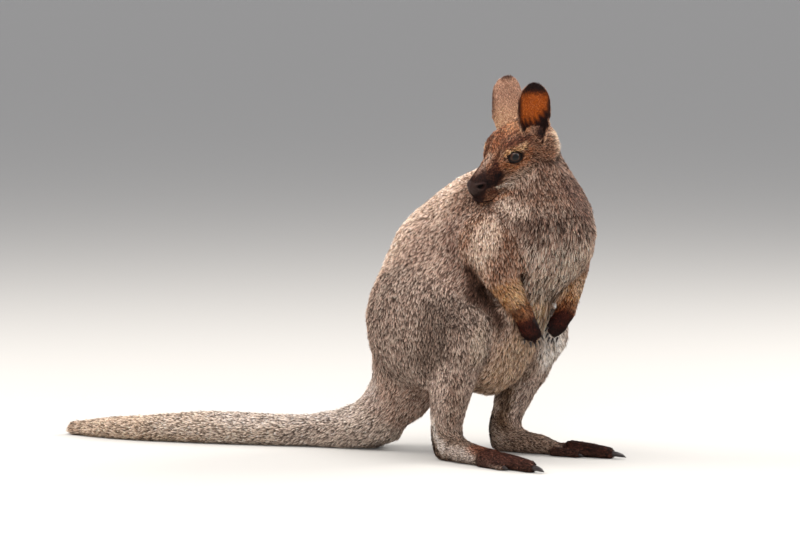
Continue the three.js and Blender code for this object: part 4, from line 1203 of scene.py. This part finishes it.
def eye_frame(side):
    """The ways that an eye's own axes point on the head: ahead, up and out."""
    out = EYE_AXIS * vec(1, side, 1)
    ahead = unit(vec(1, 0, 0) - out * out[0])
    return ahead, np.cross(out, ahead), out


def add_eyes():
    """The eyeballs, each with a bulging cornea, a wide pupil and a brown iris."""
    material = finish("eye")
    grid, faces = ball(40, 56)
    angle = np.degrees(np.arccos(np.clip(grid[:, 2], -1, 1)))
    radius = EYE_RADIUS * (1 + 0.045 * ease(-angle, -48, -10)) - EYEBALL_INSET
    pupil = np.hypot(grid[:, 0] / 0.46, grid[:, 1] / 0.36)
    shade = mix(vec(6, 5, 5), vec(54, 30, 18), ease(pupil, 0.85, 1.3)[:, None])
    shade = painted(shade, (14, 9, 8), ease(angle, 38, 50))
    for name, side in (("left", 1), ("right", -1)):
        local = grid * radius[:, None]
        points = from_head(EYE_PLACE * vec(1, side, 1) + local @ np.stack(eye_frame(side)))
        add_part("eyeball_" + name, points, faces, None, linear(shade), material, "eye", "eye_" + name)


def add_claws():
    """The claws, each remeshed finely and smoothed, paler where it is worn."""
    material = finish("claw")
    for node in [n for n in NODES if n.startswith("claw")]:
        points, faces = node_arrays(node)
        p, f = remeshed(points, faces, np.ptp(points, axis=0).max() / CLAW_STEPS)
        p = smoothed(p, edges_of(f)[0], 4)
        shade = mix(vec(20, 13, 12), vec(58, 42, 36), (0.5 * noise(p, 0.003, 5))[:, None])
        add_part(node.replace("claw", "nail", 1), p, f, None, linear(shade), material, "claw", node)


def threads(hairs, radius, steps=5):
    """Thin three-sided hairs that taper to a point, from their roots, ways, bends and lengths."""
    points, faces = [], []
    for start, way, bend, length in hairs:
        side = unit(np.cross(way, bend + vec(0.01, 0.02, 0.03)))
        up = np.cross(side, way)
        base = len(points)
        for step in range(steps):
            t = step / steps
            middle = start + way * length * t + bend * length * t * t
            for turn in range(3):
                angle = turn * 2 * math.pi / 3
                points.append(middle + (side * math.cos(angle) + up * math.sin(angle)) * radius * (1 - t))
        points.append(start + (way + bend) * length)
        for step in range(steps - 1):
            for turn in range(3):
                a, b = base + step * 3 + turn, base + step * 3 + (turn + 1) % 3
                faces += [(a, b, b + 3), (a, b + 3, a + 3)]
        last = base + (steps - 1) * 3
        faces += [(last + turn, last + (turn + 1) % 3, last + 3) for turn in range(3)]
    return np.array(points), np.array(faces)


def add_whiskers(material):
    """Whiskers on the lips and brows, and lashes along the upper lids."""
    hairs = []
    c, s = math.cos(math.radians(EYE_TILT)), math.sin(math.radians(EYE_TILT))
    for side in (1, -1):
        flip = vec(1, side, 1)
        for row in range(4):
            for column in range(4):
                x = -20 - 6.5 * column - 1.5 * row
                start = vec(x, 12.5 - 0.21 * (x + 20) + 0.5 * row, -12 + 3.4 * row)
                way = unit(vec(-0.35 - 0.12 * column, 0.8, -0.32 + 0.2 * row))
                hairs.append((start * flip, way * flip, vec(-0.28, -0.05, -0.12) * flip, RNG.uniform(14, 26)))
        for place in ((-66, 24, 37), (-70, 22, 39), (-74, 23, 40)):
            way = unit(vec(0.25, 0.75, 0.7))
            hairs.append((vec(*place) * flip, way * flip, vec(-0.2, 0, -0.15) * flip, RNG.uniform(12, 18)))
        ahead, up, out = eye_frame(side)
        up = up * side
        for t in np.linspace(-1, 1, 17):
            u, v = LID_HALF * t, LID_UP * (1 - abs(t) ** 1.7) ** 0.55
            u, v = u * c - v * s, u * s + v * c
            rise = math.sqrt(max(0, LASH_RADIUS ** 2 - u * u - v * v))
            root = EYE_PLACE * flip + ahead * u + up * v + out * rise
            way = unit(out * 0.9 + up * 0.35 + ahead * t * 0.35)
            hairs.append((root, way, up * 0.25, RNG.uniform(5, 7.5)))
    points, faces = threads(hairs, WHISKER_RADIUS)
    tint = np.tile(linear((30, 20, 17)), (len(points), 1))
    add_part("whiskers", from_head(points), faces, None, tint, material, "coat")


# ---------------------------------------------------------------- the scene
add_camera()
add_light()
add_floor()
skin = build_skin()
fold_head(skin)
skin.lie = lie_of(skin)
skin.tint = markings_and_painted_light(skin)
skin.flat = unwrap(skin)
add_skin(skin)
add_eyes()
add_claws()
hair = finish("coat")
add_coat(skin, hair)
add_whiskers(hair)
